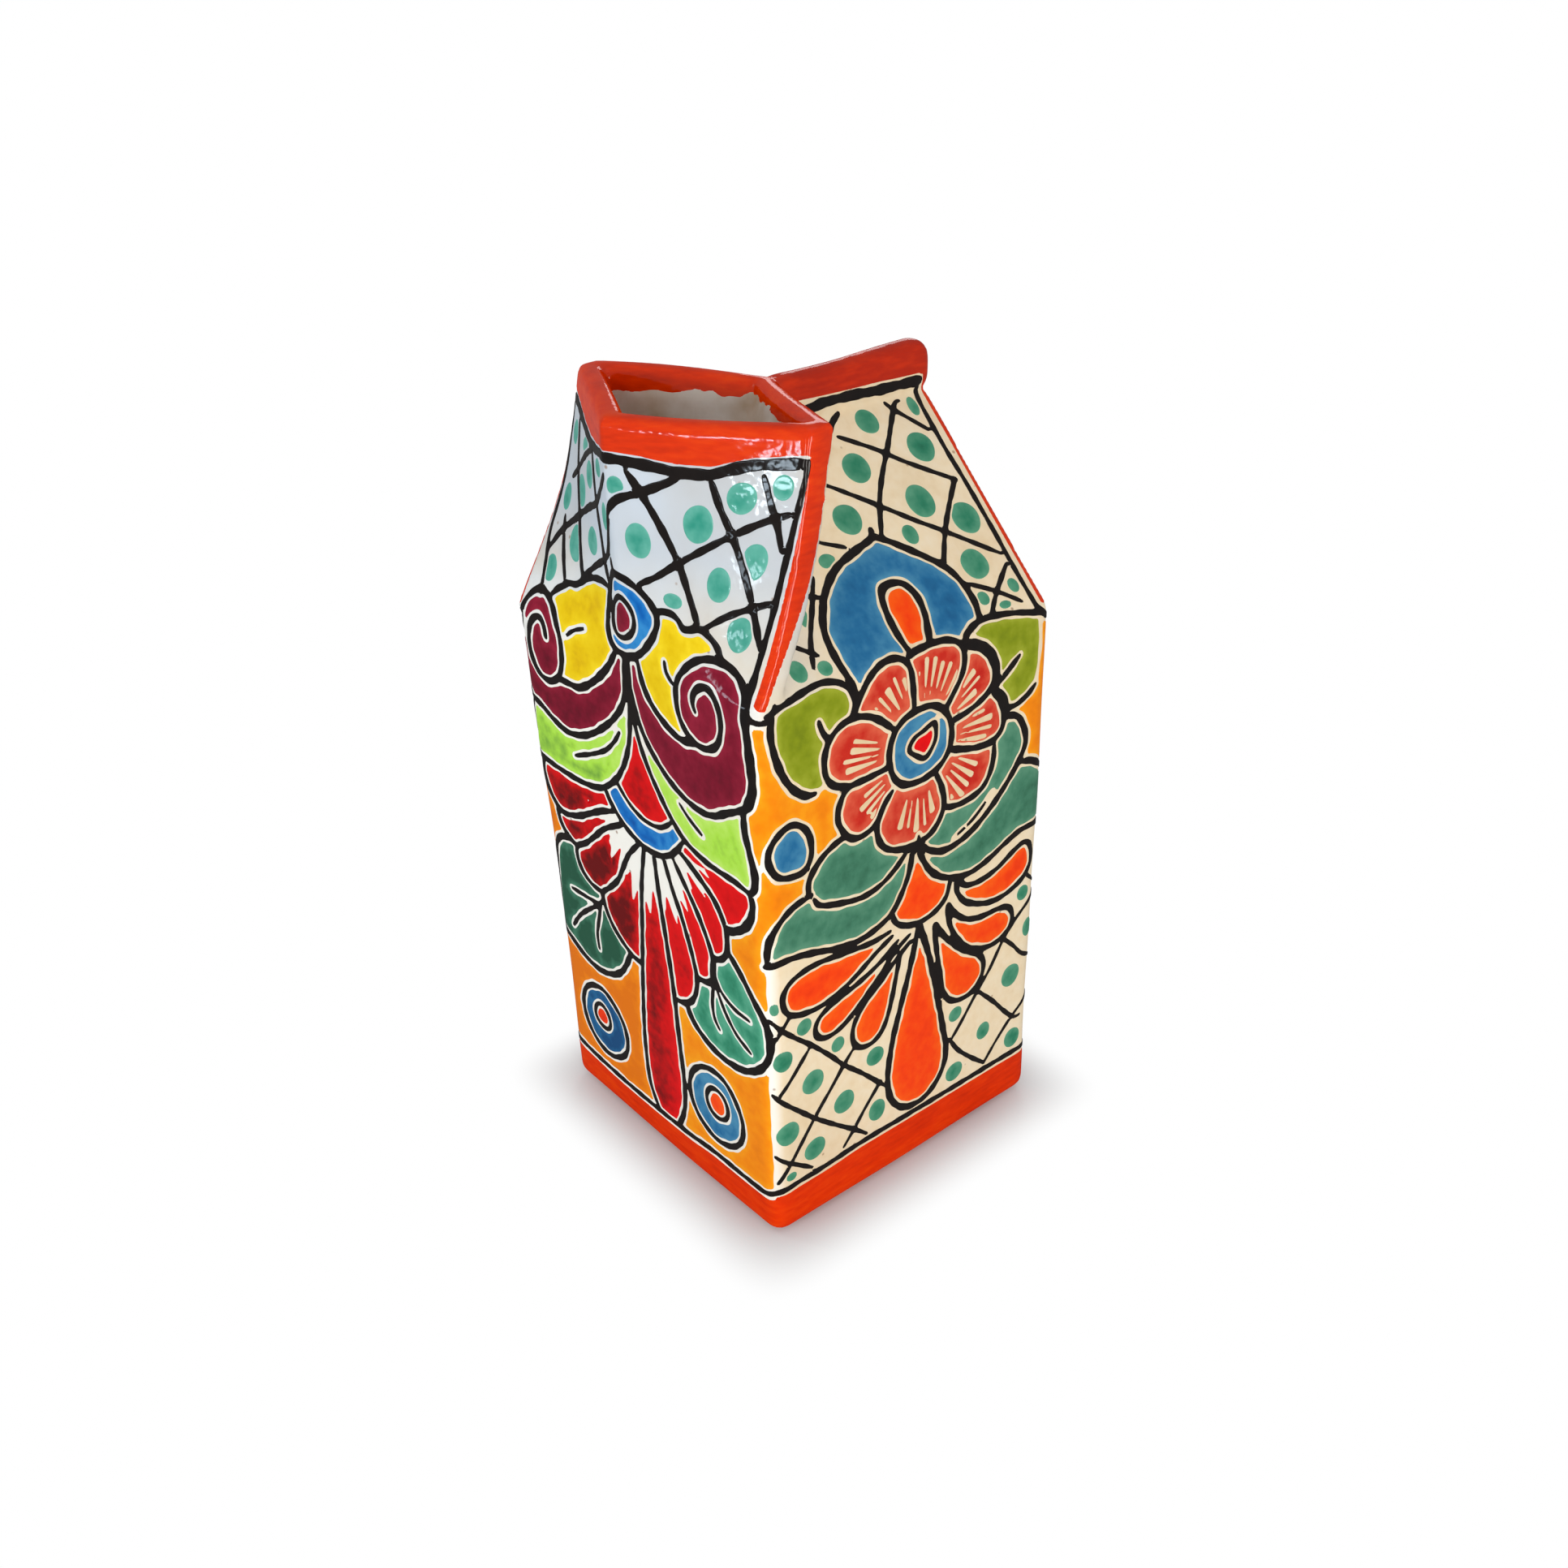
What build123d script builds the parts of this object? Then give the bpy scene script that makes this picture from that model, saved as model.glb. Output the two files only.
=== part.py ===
# Slab-built pottery vase in the form of an opened gable-top carton.
#
# The vase is put together from rolled clay slabs that are scored, wetted with slip and pressed
# edge to edge: a base, four walls, two roof slabs with a folded-in end and a closed ridge, and
# a spout of two front slabs and two flanks that are pulled open like the carton's own.
# Frame: millimetres, +Z up, origin at the middle of the underside. The spout looks to -Y.
import os
from build123d import *

# ---- driving dimensions -------------------------------------------------------------------
body_side = 105.0        # outer side of the square body
fold_height = 164.0      # where the walls end and the roof and spout begin
wall = 7.0               # thickness of the rolled slabs
base_thickness = 8.0     # the base slab is a little thicker
corner_radius = 5.0      # upright edges of the body
foot_radius = 4.0        # lower edge of the base

ridge_height = 215.0     # where the two roof slabs meet
ridge_thickness = 8.0    # the closed ridge, pinched together
ridge_top = 230.0        # its upper edge rises to this at the closed end, from the lip's height
ridge_corner = 5.0       # rounded upper corner at the closed end
ridge_round = 3.0        # rounding along its upper edges
roof_setback = 1.5       # the roof slabs stop short of the end wall's face by this much
roof_edge_round = 2.0    # soft outer edge at the closed end of the roof slabs
gusset_run = 30.0        # how far the folded-in end leans in towards its tip

lip_height = 228.5       # top of the open mouth
spout_wall = 7.5         # thickness of the spout's slabs, measured level
prow_overhang = 3.0      # the prow leans out past the body by this much at the lip
prow_bow = 1.0           # and swells a little between the fold and the lip
spout_setback = 22.5     # the spout's side edges lean back by this much at the lip
spout_taper = 4.0        # and each leans in by this much
spout_bow = 3.2          # hollow of those leaning edges
flank_lean = 23.0        # the flanks lean back by this much where they meet over the ridge
lip_round = 2.5          # rounded rim of the mouth
cut_edge_round = 2.0     # rounding along the front of the spout's cut side edges

# ---- sizes worked out from them -----------------------------------------------------------
half = body_side / 2
half_ridge = ridge_thickness / 2
roof_end = half - roof_setback

# Slope of a roof slab, and the width that the slab takes up when it is cut level.
roof_run = half - half_ridge
roof_rise = ridge_height - fold_height
roof_level = wall * (roof_run**2 + roof_rise**2) ** 0.5 / roof_rise
under_ridge = fold_height + (half - roof_level) * roof_rise / roof_run

# Width of the folded-in end slab when it is cut level.
gusset_rise = under_ridge - fold_height
gusset_level = wall * (gusset_run**2 + gusset_rise**2) ** 0.5 / gusset_rise

# The spout's slabs are drawn in two planes that rise from the fold: the middle plane, and the
# side plane, which leans in by the taper. Y is across both, and the other way is up the plane.
spout_rise = lip_height - fold_height
middle_plane = Plane((0, 0, fold_height), x_dir=(0, 1, 0), z_dir=(1, 0, 0))
side_plane = Plane((half, 0, fold_height), x_dir=(0, 1, 0), z_dir=(spout_rise, 0, spout_taper))
side_rise = (spout_rise**2 + spout_taper**2) ** 0.5

# Edges of the spout, each as its Y at the fold, its Y at the lip and its swell towards -Y.
prow_outer = (-half, -half - prow_overhang, prow_bow)
side_outer = (-half, -half + spout_setback, -spout_bow)
back_outer = (-flank_lean, 0.0, 0.0)
far_front = (-body_side, -body_side, 0.0)


def moved(edge, distance):
    """The same spout edge, moved along Y."""
    foot, head, swell = edge
    return (foot + distance, head + distance, swell)


def draw_edge(edge, rise):
    """Draw a spout edge from the fold up to the lip."""
    foot, head, swell = edge
    if swell:
        SagittaArc((foot, 0), (head, rise), swell)
    else:
        Line((foot, 0), (head, rise))


def spout_section(plane, rise, front_edge, back_edge):
    """Section of the spout in one of its two planes, between two of its edges."""
    with BuildSketch(plane) as section:
        with BuildLine():
            draw_edge(front_edge, rise)
            draw_edge(back_edge, rise)
            Line((front_edge[0], 0), (back_edge[0], 0))
            Line((front_edge[1], rise), (back_edge[1], rise))
        make_face()
    return section.sketch


# A front slab runs from the prow to the side, where its cut edge shows. A flank runs from that
# cut edge back to the ridge, and the spout's room is all that lies in front of its outer face.
side_inner = moved(side_outer, spout_wall)
side_section = spout_section(side_plane, side_rise, side_outer, side_inner)
front_sections = (
    spout_section(middle_plane, spout_rise, prow_outer, moved(prow_outer, spout_wall)),
    side_section,
)
flank_sections = (
    spout_section(middle_plane, spout_rise, moved(back_outer, -spout_wall), back_outer),
    side_section,
)
spout_room_sections = (
    spout_section(middle_plane, spout_rise, far_front, back_outer),
    spout_section(side_plane, side_rise, far_front, side_inner),
)


def rim_edges(slab):
    """Edges round the top of a spout slab, from the spout's front to its back."""
    return slab.faces().sort_by(Axis.Z)[-1].edges().sort_by(Axis.Y)


def finish(piece, name):
    """Name a finished piece and write it out."""
    piece.part.label = name
    export_step(piece.part, f"parts/{name}.step")


def finish_pair(right_piece, name):
    """Write out a piece of the right half and its mirror image on the left."""
    finish(right_piece, f"{name}_right")
    with BuildPart() as left_piece:
        add(right_piece.part)
        mirror(about=Plane.YZ, mode=Mode.REPLACE)
    finish(left_piece, f"{name}_left")


os.makedirs("parts", exist_ok=True)

# ---- base: a square slab with a soft lower edge -------------------------------------------
with BuildPart() as base_slab:
    with BuildSketch():
        RectangleRounded(body_side, body_side, corner_radius)
    extrude(amount=base_thickness)
    fillet(base_slab.faces().sort_by(Axis.Z)[0].edges(), foot_radius)
finish(base_slab, "base_slab")

# ---- walls: four slabs on the base, mitred where they meet --------------------------------
wall_turns = {
    "spout_side_wall": 0,
    "flower_side_wall": 90,
    "gable_end_wall": 180,
    "back_side_wall": 270,
}
for wall_name, turn in wall_turns.items():
    facing = Plane((0, 0, base_thickness), x_dir=Vector(1, 0, 0).rotate(Axis.Z, turn))
    with BuildPart() as wall_slab:
        with BuildSketch(facing):
            RectangleRounded(body_side, body_side, corner_radius)
            Rectangle(body_side - 2 * wall, body_side - 2 * wall, mode=Mode.SUBTRACT)
            with BuildLine():
                Polyline((0, 0), (-half, -half), (half, -half), close=True)
            make_face(mode=Mode.INTERSECT)
        extrude(amount=fold_height - base_thickness)
    finish(wall_slab, wall_name)

# ---- spout front: two slabs that meet at the prow, each with its cut edge at the side -----
with BuildPart() as front_core:
    loft(front_sections, ruled=True)
    fillet(rim_edges(front_core)[2], lip_round)

with BuildPart() as spout_front:
    add(front_core.part)
    fillet(rim_edges(spout_front)[1], lip_round)
    side_edges = spout_front.edges().filter_by(lambda edge: edge.center().X > half - spout_taper)
    tall_edges = side_edges.filter_by(lambda edge: edge.length > spout_rise / 2)
    fillet(tall_edges.sort_by(Axis.Y)[0], cut_edge_round)
finish_pair(spout_front, "spout_front")

# ---- spout flanks: two slabs from the front slabs back to the ridge -----------------------
# A flank stops at the roof's inner face, so the way from the body to the mouth stays smooth.
with BuildPart() as spout_flank:
    loft(flank_sections, ruled=True)
    fillet(rim_edges(spout_flank)[1:3], lip_round)
    add(front_core.part, mode=Mode.SUBTRACT)
    with BuildSketch(Plane.XZ):
        with BuildLine():
            Polyline(
                (half - roof_level, fold_height),
                (0, under_ridge),
                (0, fold_height),
                close=True,
            )
        make_face()
    extrude(amount=body_side, both=True, mode=Mode.SUBTRACT)
finish_pair(spout_flank, "spout_flank")

# ---- roof: two sloping slabs that give way to the spout at the front ----------------------
with BuildPart() as roof_slab:
    with BuildSketch(Plane.XZ.offset(-roof_end)):
        with BuildLine():
            Polyline(
                (half - roof_level, fold_height),
                (half, fold_height),
                (half_ridge, ridge_height),
                (0, ridge_height),
                (0, under_ridge),
                close=True,
            )
        make_face()
    extrude(amount=roof_end + half)
    end_face = roof_slab.faces().sort_by(Axis.Y)[-1]
    fillet(end_face.edges().group_by(Axis.X)[-1], roof_edge_round)
    loft(spout_room_sections, ruled=True, mode=Mode.SUBTRACT)
finish_pair(roof_slab, "roof_slab")

# ---- closed end: a triangular slab folded in between the roof slabs ----------------------
with BuildPart() as end_gusset:
    with BuildSketch(Plane.YZ):
        with BuildLine():
            Polyline(
                (half, fold_height),
                (half - gusset_run, under_ridge),
                (half - gusset_run - gusset_level, under_ridge),
                (half - gusset_level, fold_height),
                close=True,
            )
        make_face()
    extrude(amount=half, both=True)
    with BuildSketch(Plane.XZ):
        with BuildLine():
            Polyline(
                (roof_level - half, fold_height),
                (half - roof_level, fold_height),
                (0, under_ridge),
                close=True,
            )
        make_face()
    extrude(amount=body_side, both=True, mode=Mode.INTERSECT)
finish(end_gusset, "end_gusset")

# ---- ridge: the pinched strip along the roof, notched to sit behind the spout -------------
with BuildPart() as ridge_strip:
    with BuildSketch(Plane.YZ) as side_view:
        with BuildLine():
            Polyline(
                (-flank_lean, ridge_height),
                (half, ridge_height),
                (half, ridge_top),
                (0, lip_height),
                (-flank_lean, lip_height),
                close=True,
            )
        make_face()
        fillet(side_view.vertices().group_by(Axis.Z)[-1], ridge_corner)
    extrude(amount=half_ridge)
    outer_edges = ridge_strip.faces().sort_by(Axis.X)[-1].edges()
    fillet(outer_edges.sort_by(Axis.Z)[-3:], ridge_round)
    loft(spout_room_sections, ruled=True, mode=Mode.SUBTRACT)
    mirror(about=Plane.YZ)
finish(ridge_strip, "ridge_strip")
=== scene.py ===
# Talavera vase: the looks of a hand-built, tin-glazed pottery vase in the form of an opened
# carton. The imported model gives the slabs; this script fires them into one clay body and then
# paints it as a talavera painter does: black lines first, and a pool of glaze between the lines.
import math
from itertools import combinations

import bmesh
import bpy
import numpy as np
from mathutils import Matrix, Vector
from mathutils.bvhtree import BVHTree
from mathutils.geometry import delaunay_2d_cdt


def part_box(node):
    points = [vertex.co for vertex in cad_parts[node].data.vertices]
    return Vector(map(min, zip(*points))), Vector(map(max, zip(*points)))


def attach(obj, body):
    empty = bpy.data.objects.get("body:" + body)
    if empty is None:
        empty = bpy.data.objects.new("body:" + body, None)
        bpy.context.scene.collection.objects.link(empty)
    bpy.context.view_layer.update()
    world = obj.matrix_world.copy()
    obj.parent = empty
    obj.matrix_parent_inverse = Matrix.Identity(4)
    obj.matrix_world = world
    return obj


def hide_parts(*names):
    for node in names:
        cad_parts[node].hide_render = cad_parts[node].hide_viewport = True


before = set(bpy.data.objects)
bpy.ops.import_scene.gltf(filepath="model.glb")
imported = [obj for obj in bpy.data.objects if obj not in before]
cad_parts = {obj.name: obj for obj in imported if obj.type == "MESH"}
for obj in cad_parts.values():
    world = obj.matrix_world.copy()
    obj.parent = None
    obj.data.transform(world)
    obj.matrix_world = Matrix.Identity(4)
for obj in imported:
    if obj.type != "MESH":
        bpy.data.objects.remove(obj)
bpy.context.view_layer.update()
mm = 0.001

# ---- camera -------------------------------------------------------------------------------
# A standing viewer looks down a little on the front upright edge, between the spout side and
# the flower side. Distances are in widths of the vase.
low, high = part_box("base_slab")
width = high[0] - low[0]
azimuth = math.radians(50.96)
elevation = math.radians(27.78)
roll = math.radians(-1.87)
distance = 4.770 * width
aim_right = -0.017 * width
aim_up = 0.910 * width
film_width, focal_length = 36, 35.25

towards = Vector((
    math.sin(azimuth) * math.cos(elevation),
    -math.cos(azimuth) * math.cos(elevation),
    math.sin(elevation),
))
level_right = Vector((0, 0, 1)).cross(towards).normalized()
level_up = towards.cross(level_right)
right = level_right * math.cos(roll) + level_up * math.sin(roll)
up = level_up * math.cos(roll) - level_right * math.sin(roll)
eye = towards * distance + level_right * aim_right + level_up * aim_up

lens = bpy.data.cameras.new("camera")
lens.sensor_width = film_width
lens.lens = focal_length
camera = bpy.data.objects.new("camera", lens)
camera.matrix_world = Matrix.Translation(eye) @ Matrix((right, up, towards)).transposed().to_4x4()
bpy.context.scene.collection.objects.link(camera)
bpy.context.scene.camera = camera

# ---- studio -------------------------------------------------------------------------------
# A white table that runs on into a white room, which gives an even fill. A row of small window
# panes stands round the front of the vase, and each sets a clear highlight on the glaze.
room_tint, room_strength = (0.96, 0.98, 1.0), 0.42
# Round the foot the table is painted grey, darker than the white beyond as a shadow would be, and the real
# shadow falls on it as well.
table_reach, painted_shadow_grey = 12.0, 0.58
shadow_start, shadow_end = 0.047, 0.074     # the painted grey round the foot turns white between these
shadow_corner = 0.03                        # roundness of the corners of that square patch
least_white = 0.05
scene = bpy.context.scene
scene.view_settings.view_transform = "Standard"


def sum_on(nodes, links, kind, *values):
    """A sum of one kind on values, each a plain number or a node's output."""
    node = nodes.new("ShaderNodeMath")
    node.operation = kind
    for socket, value in zip(node.inputs, values):
        if isinstance(value, (int, float)):
            socket.default_value = value
        else:
            links.new(value, socket)
    return node.outputs["Value"]


def range_on(nodes, links, value, start, end, first, last, kind="LINEAR"):
    """A value stretched from one range to another and kept inside it."""
    stretch = nodes.new("ShaderNodeMapRange")
    stretch.interpolation_type = kind
    for name, number in (("From Min", start), ("From Max", end), ("To Min", first), ("To Max", last)):
        stretch.inputs[name].default_value = number
    links.new(value, stretch.inputs["Value"])
    return stretch.outputs["Result"]


def turn_white(nodes, links, own, white, output, share=None):
    """A finish that the eye and the reflections see as plain white, wholly or by a share."""
    path = nodes.new("ShaderNodeLightPath")
    seen = path.outputs["Is Camera Ray"]
    for ray in ("Is Glossy Ray", "Is Transmission Ray"):
        seen = sum_on(nodes, links, "MAXIMUM", seen, path.outputs[ray])
    if share is not None:
        seen = sum_on(nodes, links, "MULTIPLY", share, seen)
    choose = nodes.new("ShaderNodeMixShader")
    links.new(seen, choose.inputs["Fac"])
    links.new(own.outputs[0], choose.inputs[1])
    links.new(white.outputs[0], choose.inputs[2])
    white.inputs["Color"].default_value = (1, 1, 1, 1)
    white.inputs["Strength"].default_value = 1.0
    links.new(choose.outputs["Shader"], output.inputs["Surface"])


room = bpy.data.worlds.new("white_room")
room.use_nodes = True
scene.world = room
nodes, links = room.node_tree.nodes, room.node_tree.links
room_light = nodes["Background"]
room_light.inputs["Color"].default_value = (*room_tint, 1)
room_light.inputs["Strength"].default_value = room_strength
turn_white(nodes, links, room_light, nodes.new("ShaderNodeBackground"), nodes["World Output"])

table_mesh = bpy.data.meshes.new("table")
table_mesh.from_pydata(
    [(-table_reach, -table_reach, 0), (table_reach, -table_reach, 0),
     (table_reach, table_reach, 0), (-table_reach, table_reach, 0)],
    [], [(0, 1, 2, 3)],
)
table = bpy.data.objects.new("table", table_mesh)
scene.collection.objects.link(table)
table_paint = bpy.data.materials.new("table_paint")
table_paint.use_nodes = True
nodes, links = table_paint.node_tree.nodes, table_paint.node_tree.links
matt = nodes["Principled BSDF"]
matt.inputs["Base Color"].default_value = (painted_shadow_grey, painted_shadow_grey, painted_shadow_grey, 1)
matt.inputs["Roughness"].default_value = 0.9
matt.inputs["Specular IOR Level"].default_value = 0.1
either_way = nodes.new("ShaderNodeVectorMath")
either_way.operation = "ABSOLUTE"
links.new(nodes.new("ShaderNodeTexCoord").outputs["Object"], either_way.inputs[0])
table_xy = nodes.new("ShaderNodeSeparateXYZ")
links.new(either_way.outputs["Vector"], table_xy.inputs["Vector"])
from_middle = sum_on(
    nodes, links, "SMOOTH_MAX", table_xy.outputs["X"], table_xy.outputs["Y"], shadow_corner
)
far_out = range_on(nodes, links, from_middle, shadow_start, shadow_end, least_white, 1, "SMOOTHSTEP")
turn_white(nodes, links, matt, nodes.new("ShaderNodeEmission"), nodes["Material Output"], far_out)
table_mesh.materials.append(table_paint)


def window_light(name, place, aim, size, power, tint=(1, 1, 1)):
    """A soft rectangular light that faces a point."""
    lamp = bpy.data.lights.new(name, "AREA")
    lamp.shape = "RECTANGLE"
    lamp.size, lamp.size_y = size
    lamp.energy = power
    lamp.color = tint
    holder = bpy.data.objects.new(name, lamp)
    holder.matrix_world = (
        Matrix.Translation(place)
        @ (Vector(place) - Vector(aim)).to_track_quat("Z", "Y").to_matrix().to_4x4()
    )
    scene.collection.objects.link(holder)


vase_middle = (0, 0, 0.11)
away = 1.0              # the panes stand this far from the vase
warm, cool = (1.0, 0.97, 0.92), (0.72, 0.87, 1.0)
panes = (               # bearing from the spout side, height, size, power and tint
    (72, 0.25, (0.16, 0.26), 3.2, warm),
    (50, 0.25, (0.11, 0.24), 1.9, warm),
    (26, 0.27, (0.09, 0.14), 0.9, warm),
    (4, 0.273, (0.09, 0.05), 0.9, cool),
    (-10, 0.29, (0.05, 0.10), 0.5, cool),
    (-24, 0.26, (0.05, 0.08), 0.4, cool),
    (-40, 0.16, (0.05, 0.06), 0.3, cool),
)
for number, (bearing, tall, size, power, tint) in enumerate(panes):
    turned = math.radians(bearing)
    stand = (away * math.sin(turned), -away * math.cos(turned), tall)
    window_light(f"pane_{number}", stand, vase_middle, size, power, tint)
window_light("high_pane", (-0.62, -0.42, 0.72), vase_middle, (0.04, 0.20), 0.8)
window_light("back_window", (-0.70, 0.75, 0.50), vase_middle, (0.30, 0.30), 2.4)
window_light("ceiling_bounce", (0.3, 0.1, 1.5), vase_middle, (1.2, 1.2), 3)

# ---- fired clay body ----------------------------------------------------------------------
# Thirteen rolled slabs of earthenware, scored, slipped and pressed edge to edge, then dipped in
# cream tin glaze. Wet fingers and the thick glaze soften every fold, and no slab stays quite flat.
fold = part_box("flower_side_wall")[1][2] / mm
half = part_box("base_slab")[1][0] / mm
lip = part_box("spout_front_right")[1][2] / mm
corner = 5.0            # radius of the upright edges
glaze_room = 0.3        # the painted glaze takes this much of the full size on each side
knead = 1.2             # size of the pinch that rounds the clay
soften_passes = 5
left_push = 2.9         # the spout side's left upright edge was pressed out this far at the fold
push_grows, push_fades = (60, 160), (168, 205)      # between these heights
prow_out, prow_swell = 3.0, 4.0         # the prow leans out to the lip and swells on its way
edge_out, edge_hollow = 22.5, 12.0      # the cut sides lean back to the lip in a hollow line
side_taper = 4.0                        # and come in towards each other
lip_rise = lip - fold
gusset_rise, gusset_run = 45.05, 30.0
gusset_slope = math.atan2(gusset_rise, gusset_run)
wall_skin = 4.0         # clay deeper in than this faces the inside
lip_half = 4.5          # half of the lip's thickness
spout_depth = 10.0      # the mouth's back faces lie less than this behind the front

slab_copy = bmesh.new()
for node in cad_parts.values():
    slab_copy.from_mesh(node.data)
raw_clay = bpy.data.meshes.new("raw_clay")
slab_copy.to_mesh(raw_clay)
slab_copy.free()
raw_body = bpy.data.objects.new("raw_body", raw_clay)
scene.collection.objects.link(raw_body)
press = raw_body.modifiers.new("press", "REMESH")
press.mode = "VOXEL"
press.voxel_size = knead * mm
soften = raw_body.modifiers.new("soften", "SMOOTH")
soften.factor = 0.5
soften.iterations = soften_passes
bpy.context.view_layer.update()
pressed = raw_body.evaluated_get(bpy.context.evaluated_depsgraph_get())
clay_mesh = bpy.data.meshes.new_from_object(pressed)
bpy.data.objects.remove(raw_body)


def threes(items, what, kind=float):
    """The numbers of one sort that a mesh's items hold, three to a row."""
    flat = np.empty(len(items) * 3, dtype=kind)
    items.foreach_get(what, flat)
    return flat.reshape(-1, 3)


def swell(points):
    """Slow hand-made unevenness of the slabs, a few tenths of a millimetre."""
    x, y, z = points.T
    return (
        0.14 * np.sin(x / 15 + z / 34 + 1.0)
        + 0.12 * np.sin(y / 12 - z / 26 + 2.0)
        + 0.08 * np.sin(z / 8 + x / 24 - y / 31)
        - 0.25
    )


def ease(value, start, end):
    """Goes smoothly from 0 at start to 1 at end."""
    t = np.clip((value - start) / (end - start), 0, 1)
    return t * t * (3 - 2 * t)


shrink = (half - glaze_room) / half
clay_points = threes(clay_mesh.vertices, "co") / mm
clay_points += threes(clay_mesh.vertices, "normal") * swell(clay_points)[:, None]
x, y, z = clay_points.T
lip_sag = ease(z, fold + 40, lip) * (0.9 + 0.6 * np.sin(x / 14 + 0.6) + 0.5 * np.sin(y / 11))
pressed_out = left_push * ease(-x, 0, half) * ease(-y, 0, half)
pressed_out *= ease(z, *push_grows) * (1 - ease(z, *push_fades))
clay_points = np.stack([
    x * shrink, y * shrink - pressed_out, z * (1 - glaze_room / lip) - lip_sag + 0.15,
], axis=1)
clay_mesh.vertices.foreach_set("co", (clay_points * mm).ravel())
clay_mesh.update()
clay_mesh.calc_loop_triangles()
clay_normals = threes(clay_mesh.vertices, "normal")
clay_triangles = threes(clay_mesh.loop_triangles, "vertices", int)
clay_tree = BVHTree.FromPolygons(clay_points.tolist(), clay_triangles.tolist())
x, y, z = clay_points.T


def front_face(x, z):
    """Y of the spout's outer face at places x, z, and X of its side edge, in mm."""
    t = np.clip((z - fold) / lip_rise, 0, 1.05)
    side = half - side_taper * t
    across = np.clip(np.abs(x) / side, 0, 1)
    prow = -half - prow_out * t - prow_swell * t * (1 - t)
    edge = -half + edge_out * t + edge_hollow * t * (1 - t)
    return prow * (1 - across) + edge * across, side, edge


face_y, side_x, side_y = front_face(x, z)
across, forward, upward = clay_normals.T
# What faces the hollow of the body or of the spout is marked, so that it can take brown stains and painted
# shade.
in_body = (z < fold) & (np.maximum(np.abs(x), np.abs(y)) < half - wall_skin) & (z > wall_skin)
in_spout = (z >= fold) & (
    ((forward > 0.35) & (y < face_y + spout_depth))
    | ((forward < -0.35) & (y > face_y + lip_half))
    | (upward < -0.3)
)
in_spout &= across * np.sign(x) < 0.15
in_spout &= y < half - wall_skin - (z - fold) / math.tan(gusset_slope)
on_end = (np.abs(x) > side_x - 3) & (np.abs(across) > 0.5)
inside = (in_body | in_spout) & ~on_end
hollow_mark = clay_mesh.attributes.new("inside", "FLOAT", "POINT")
hollow_mark.data.foreach_set("value", inside.astype(np.float32))


def tone(red, green, blue):
    """A colour as a paint maker's card gives it, 0 to 255, turned into light."""
    return tuple((c / 255 / 12.92) if c < 10 else ((c / 255 + 0.055) / 1.055) ** 2.4
                 for c in (red, green, blue))


def noise_on(nodes, links, place, scale, detail):
    """A noise pattern at places, in grains to the metre."""
    noise = nodes.new("ShaderNodeTexNoise")
    noise.inputs["Scale"].default_value = scale
    noise.inputs["Detail"].default_value = detail
    links.new(place, noise.inputs["Vector"])
    return noise.outputs["Fac"]


def mix_on(nodes, links, kind, amount, under, over):
    """One colour laid over another."""
    mix = nodes.new("ShaderNodeMix")
    mix.data_type = "RGBA"
    mix.blend_type = kind
    for socket, value in ((mix.inputs["Factor"], amount), (mix.inputs[6], under), (mix.inputs[7], over)):
        if isinstance(value, (int, float)):
            socket.default_value = value
        elif isinstance(value, tuple):
            socket.default_value = (*value, 1)
        else:
            links.new(value, socket)
    return mix.outputs[2]


cloud_grain, streak_grain, skin_grain = 60, 330, 230    # marks to the metre
enamel_index = 1.9      # a lead enamel shines more than window glass


def glaze(name, thin, full, deep, grain=(1, 1, 1), gloss=0.06, sheen=0.08):
    """A fired enamel with thin, full and deep tones, the deep one where it pools and also for painted
    shade, and the marks of the brush.
    """
    paint = bpy.data.materials.new(name)
    paint.use_nodes = True
    nodes, links = paint.node_tree.nodes, paint.node_tree.links
    shader = nodes["Principled BSDF"]
    for socket, number in (("IOR", 1.5), ("Specular IOR Level", 0), ("Roughness", 0.5),
                           ("Coat IOR", enamel_index), ("Coat Weight", sheen)):
        shader.inputs[socket].default_value = number
    place = nodes.new("ShaderNodeTexCoord").outputs["Object"]
    brushed = nodes.new("ShaderNodeMapping")
    brushed.inputs["Scale"].default_value = grain
    links.new(place, brushed.inputs["Vector"])
    clouds = noise_on(nodes, links, brushed.outputs["Vector"], cloud_grain, 3)
    streaks = noise_on(nodes, links, brushed.outputs["Vector"], streak_grain, 2)
    clouds = range_on(nodes, links, clouds, 0.25, 0.75, 0.14, 0.36)
    depth = sum_on(nodes, links, "MULTIPLY_ADD", streaks, 0.5, clouds)
    # The tint attribute says where the brush left the glaze thin or where it pools. On the spout side it
    # also carries painted shade, which turns the colour to its deep tone.
    thinness = nodes.new("ShaderNodeAttribute")
    thinness.attribute_name = "tint"
    depth = sum_on(nodes, links, "MULTIPLY_ADD", thinness.outputs["Fac"], 0.45, depth)
    ramp = nodes.new("ShaderNodeValToRGB")
    stops = ramp.color_ramp.elements
    stops[0].position, stops[0].color = 0.18, (*tone(*deep), 1)
    stops[1].position, stops[1].color = 0.86, (*tone(*thin), 1)
    stops.new(0.5).color = (*tone(*full), 1)
    links.new(depth, ramp.inputs["Fac"])
    links.new(ramp.outputs["Color"], shader.inputs["Base Color"])
    polish = range_on(nodes, links, streaks, 0.2, 0.8, gloss * 0.7, gloss * 1.6)
    links.new(polish, shader.inputs["Coat Roughness"])
    skin = nodes.new("ShaderNodeBump")
    skin.inputs["Strength"].default_value = 0.35
    skin.inputs["Distance"].default_value = 0.0004
    links.new(noise_on(nodes, links, place, skin_grain, 2), skin.inputs["Height"])
    for socket in ("Normal", "Coat Normal"):
        links.new(skin.outputs["Normal"], shader.inputs[socket])
    return paint


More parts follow.
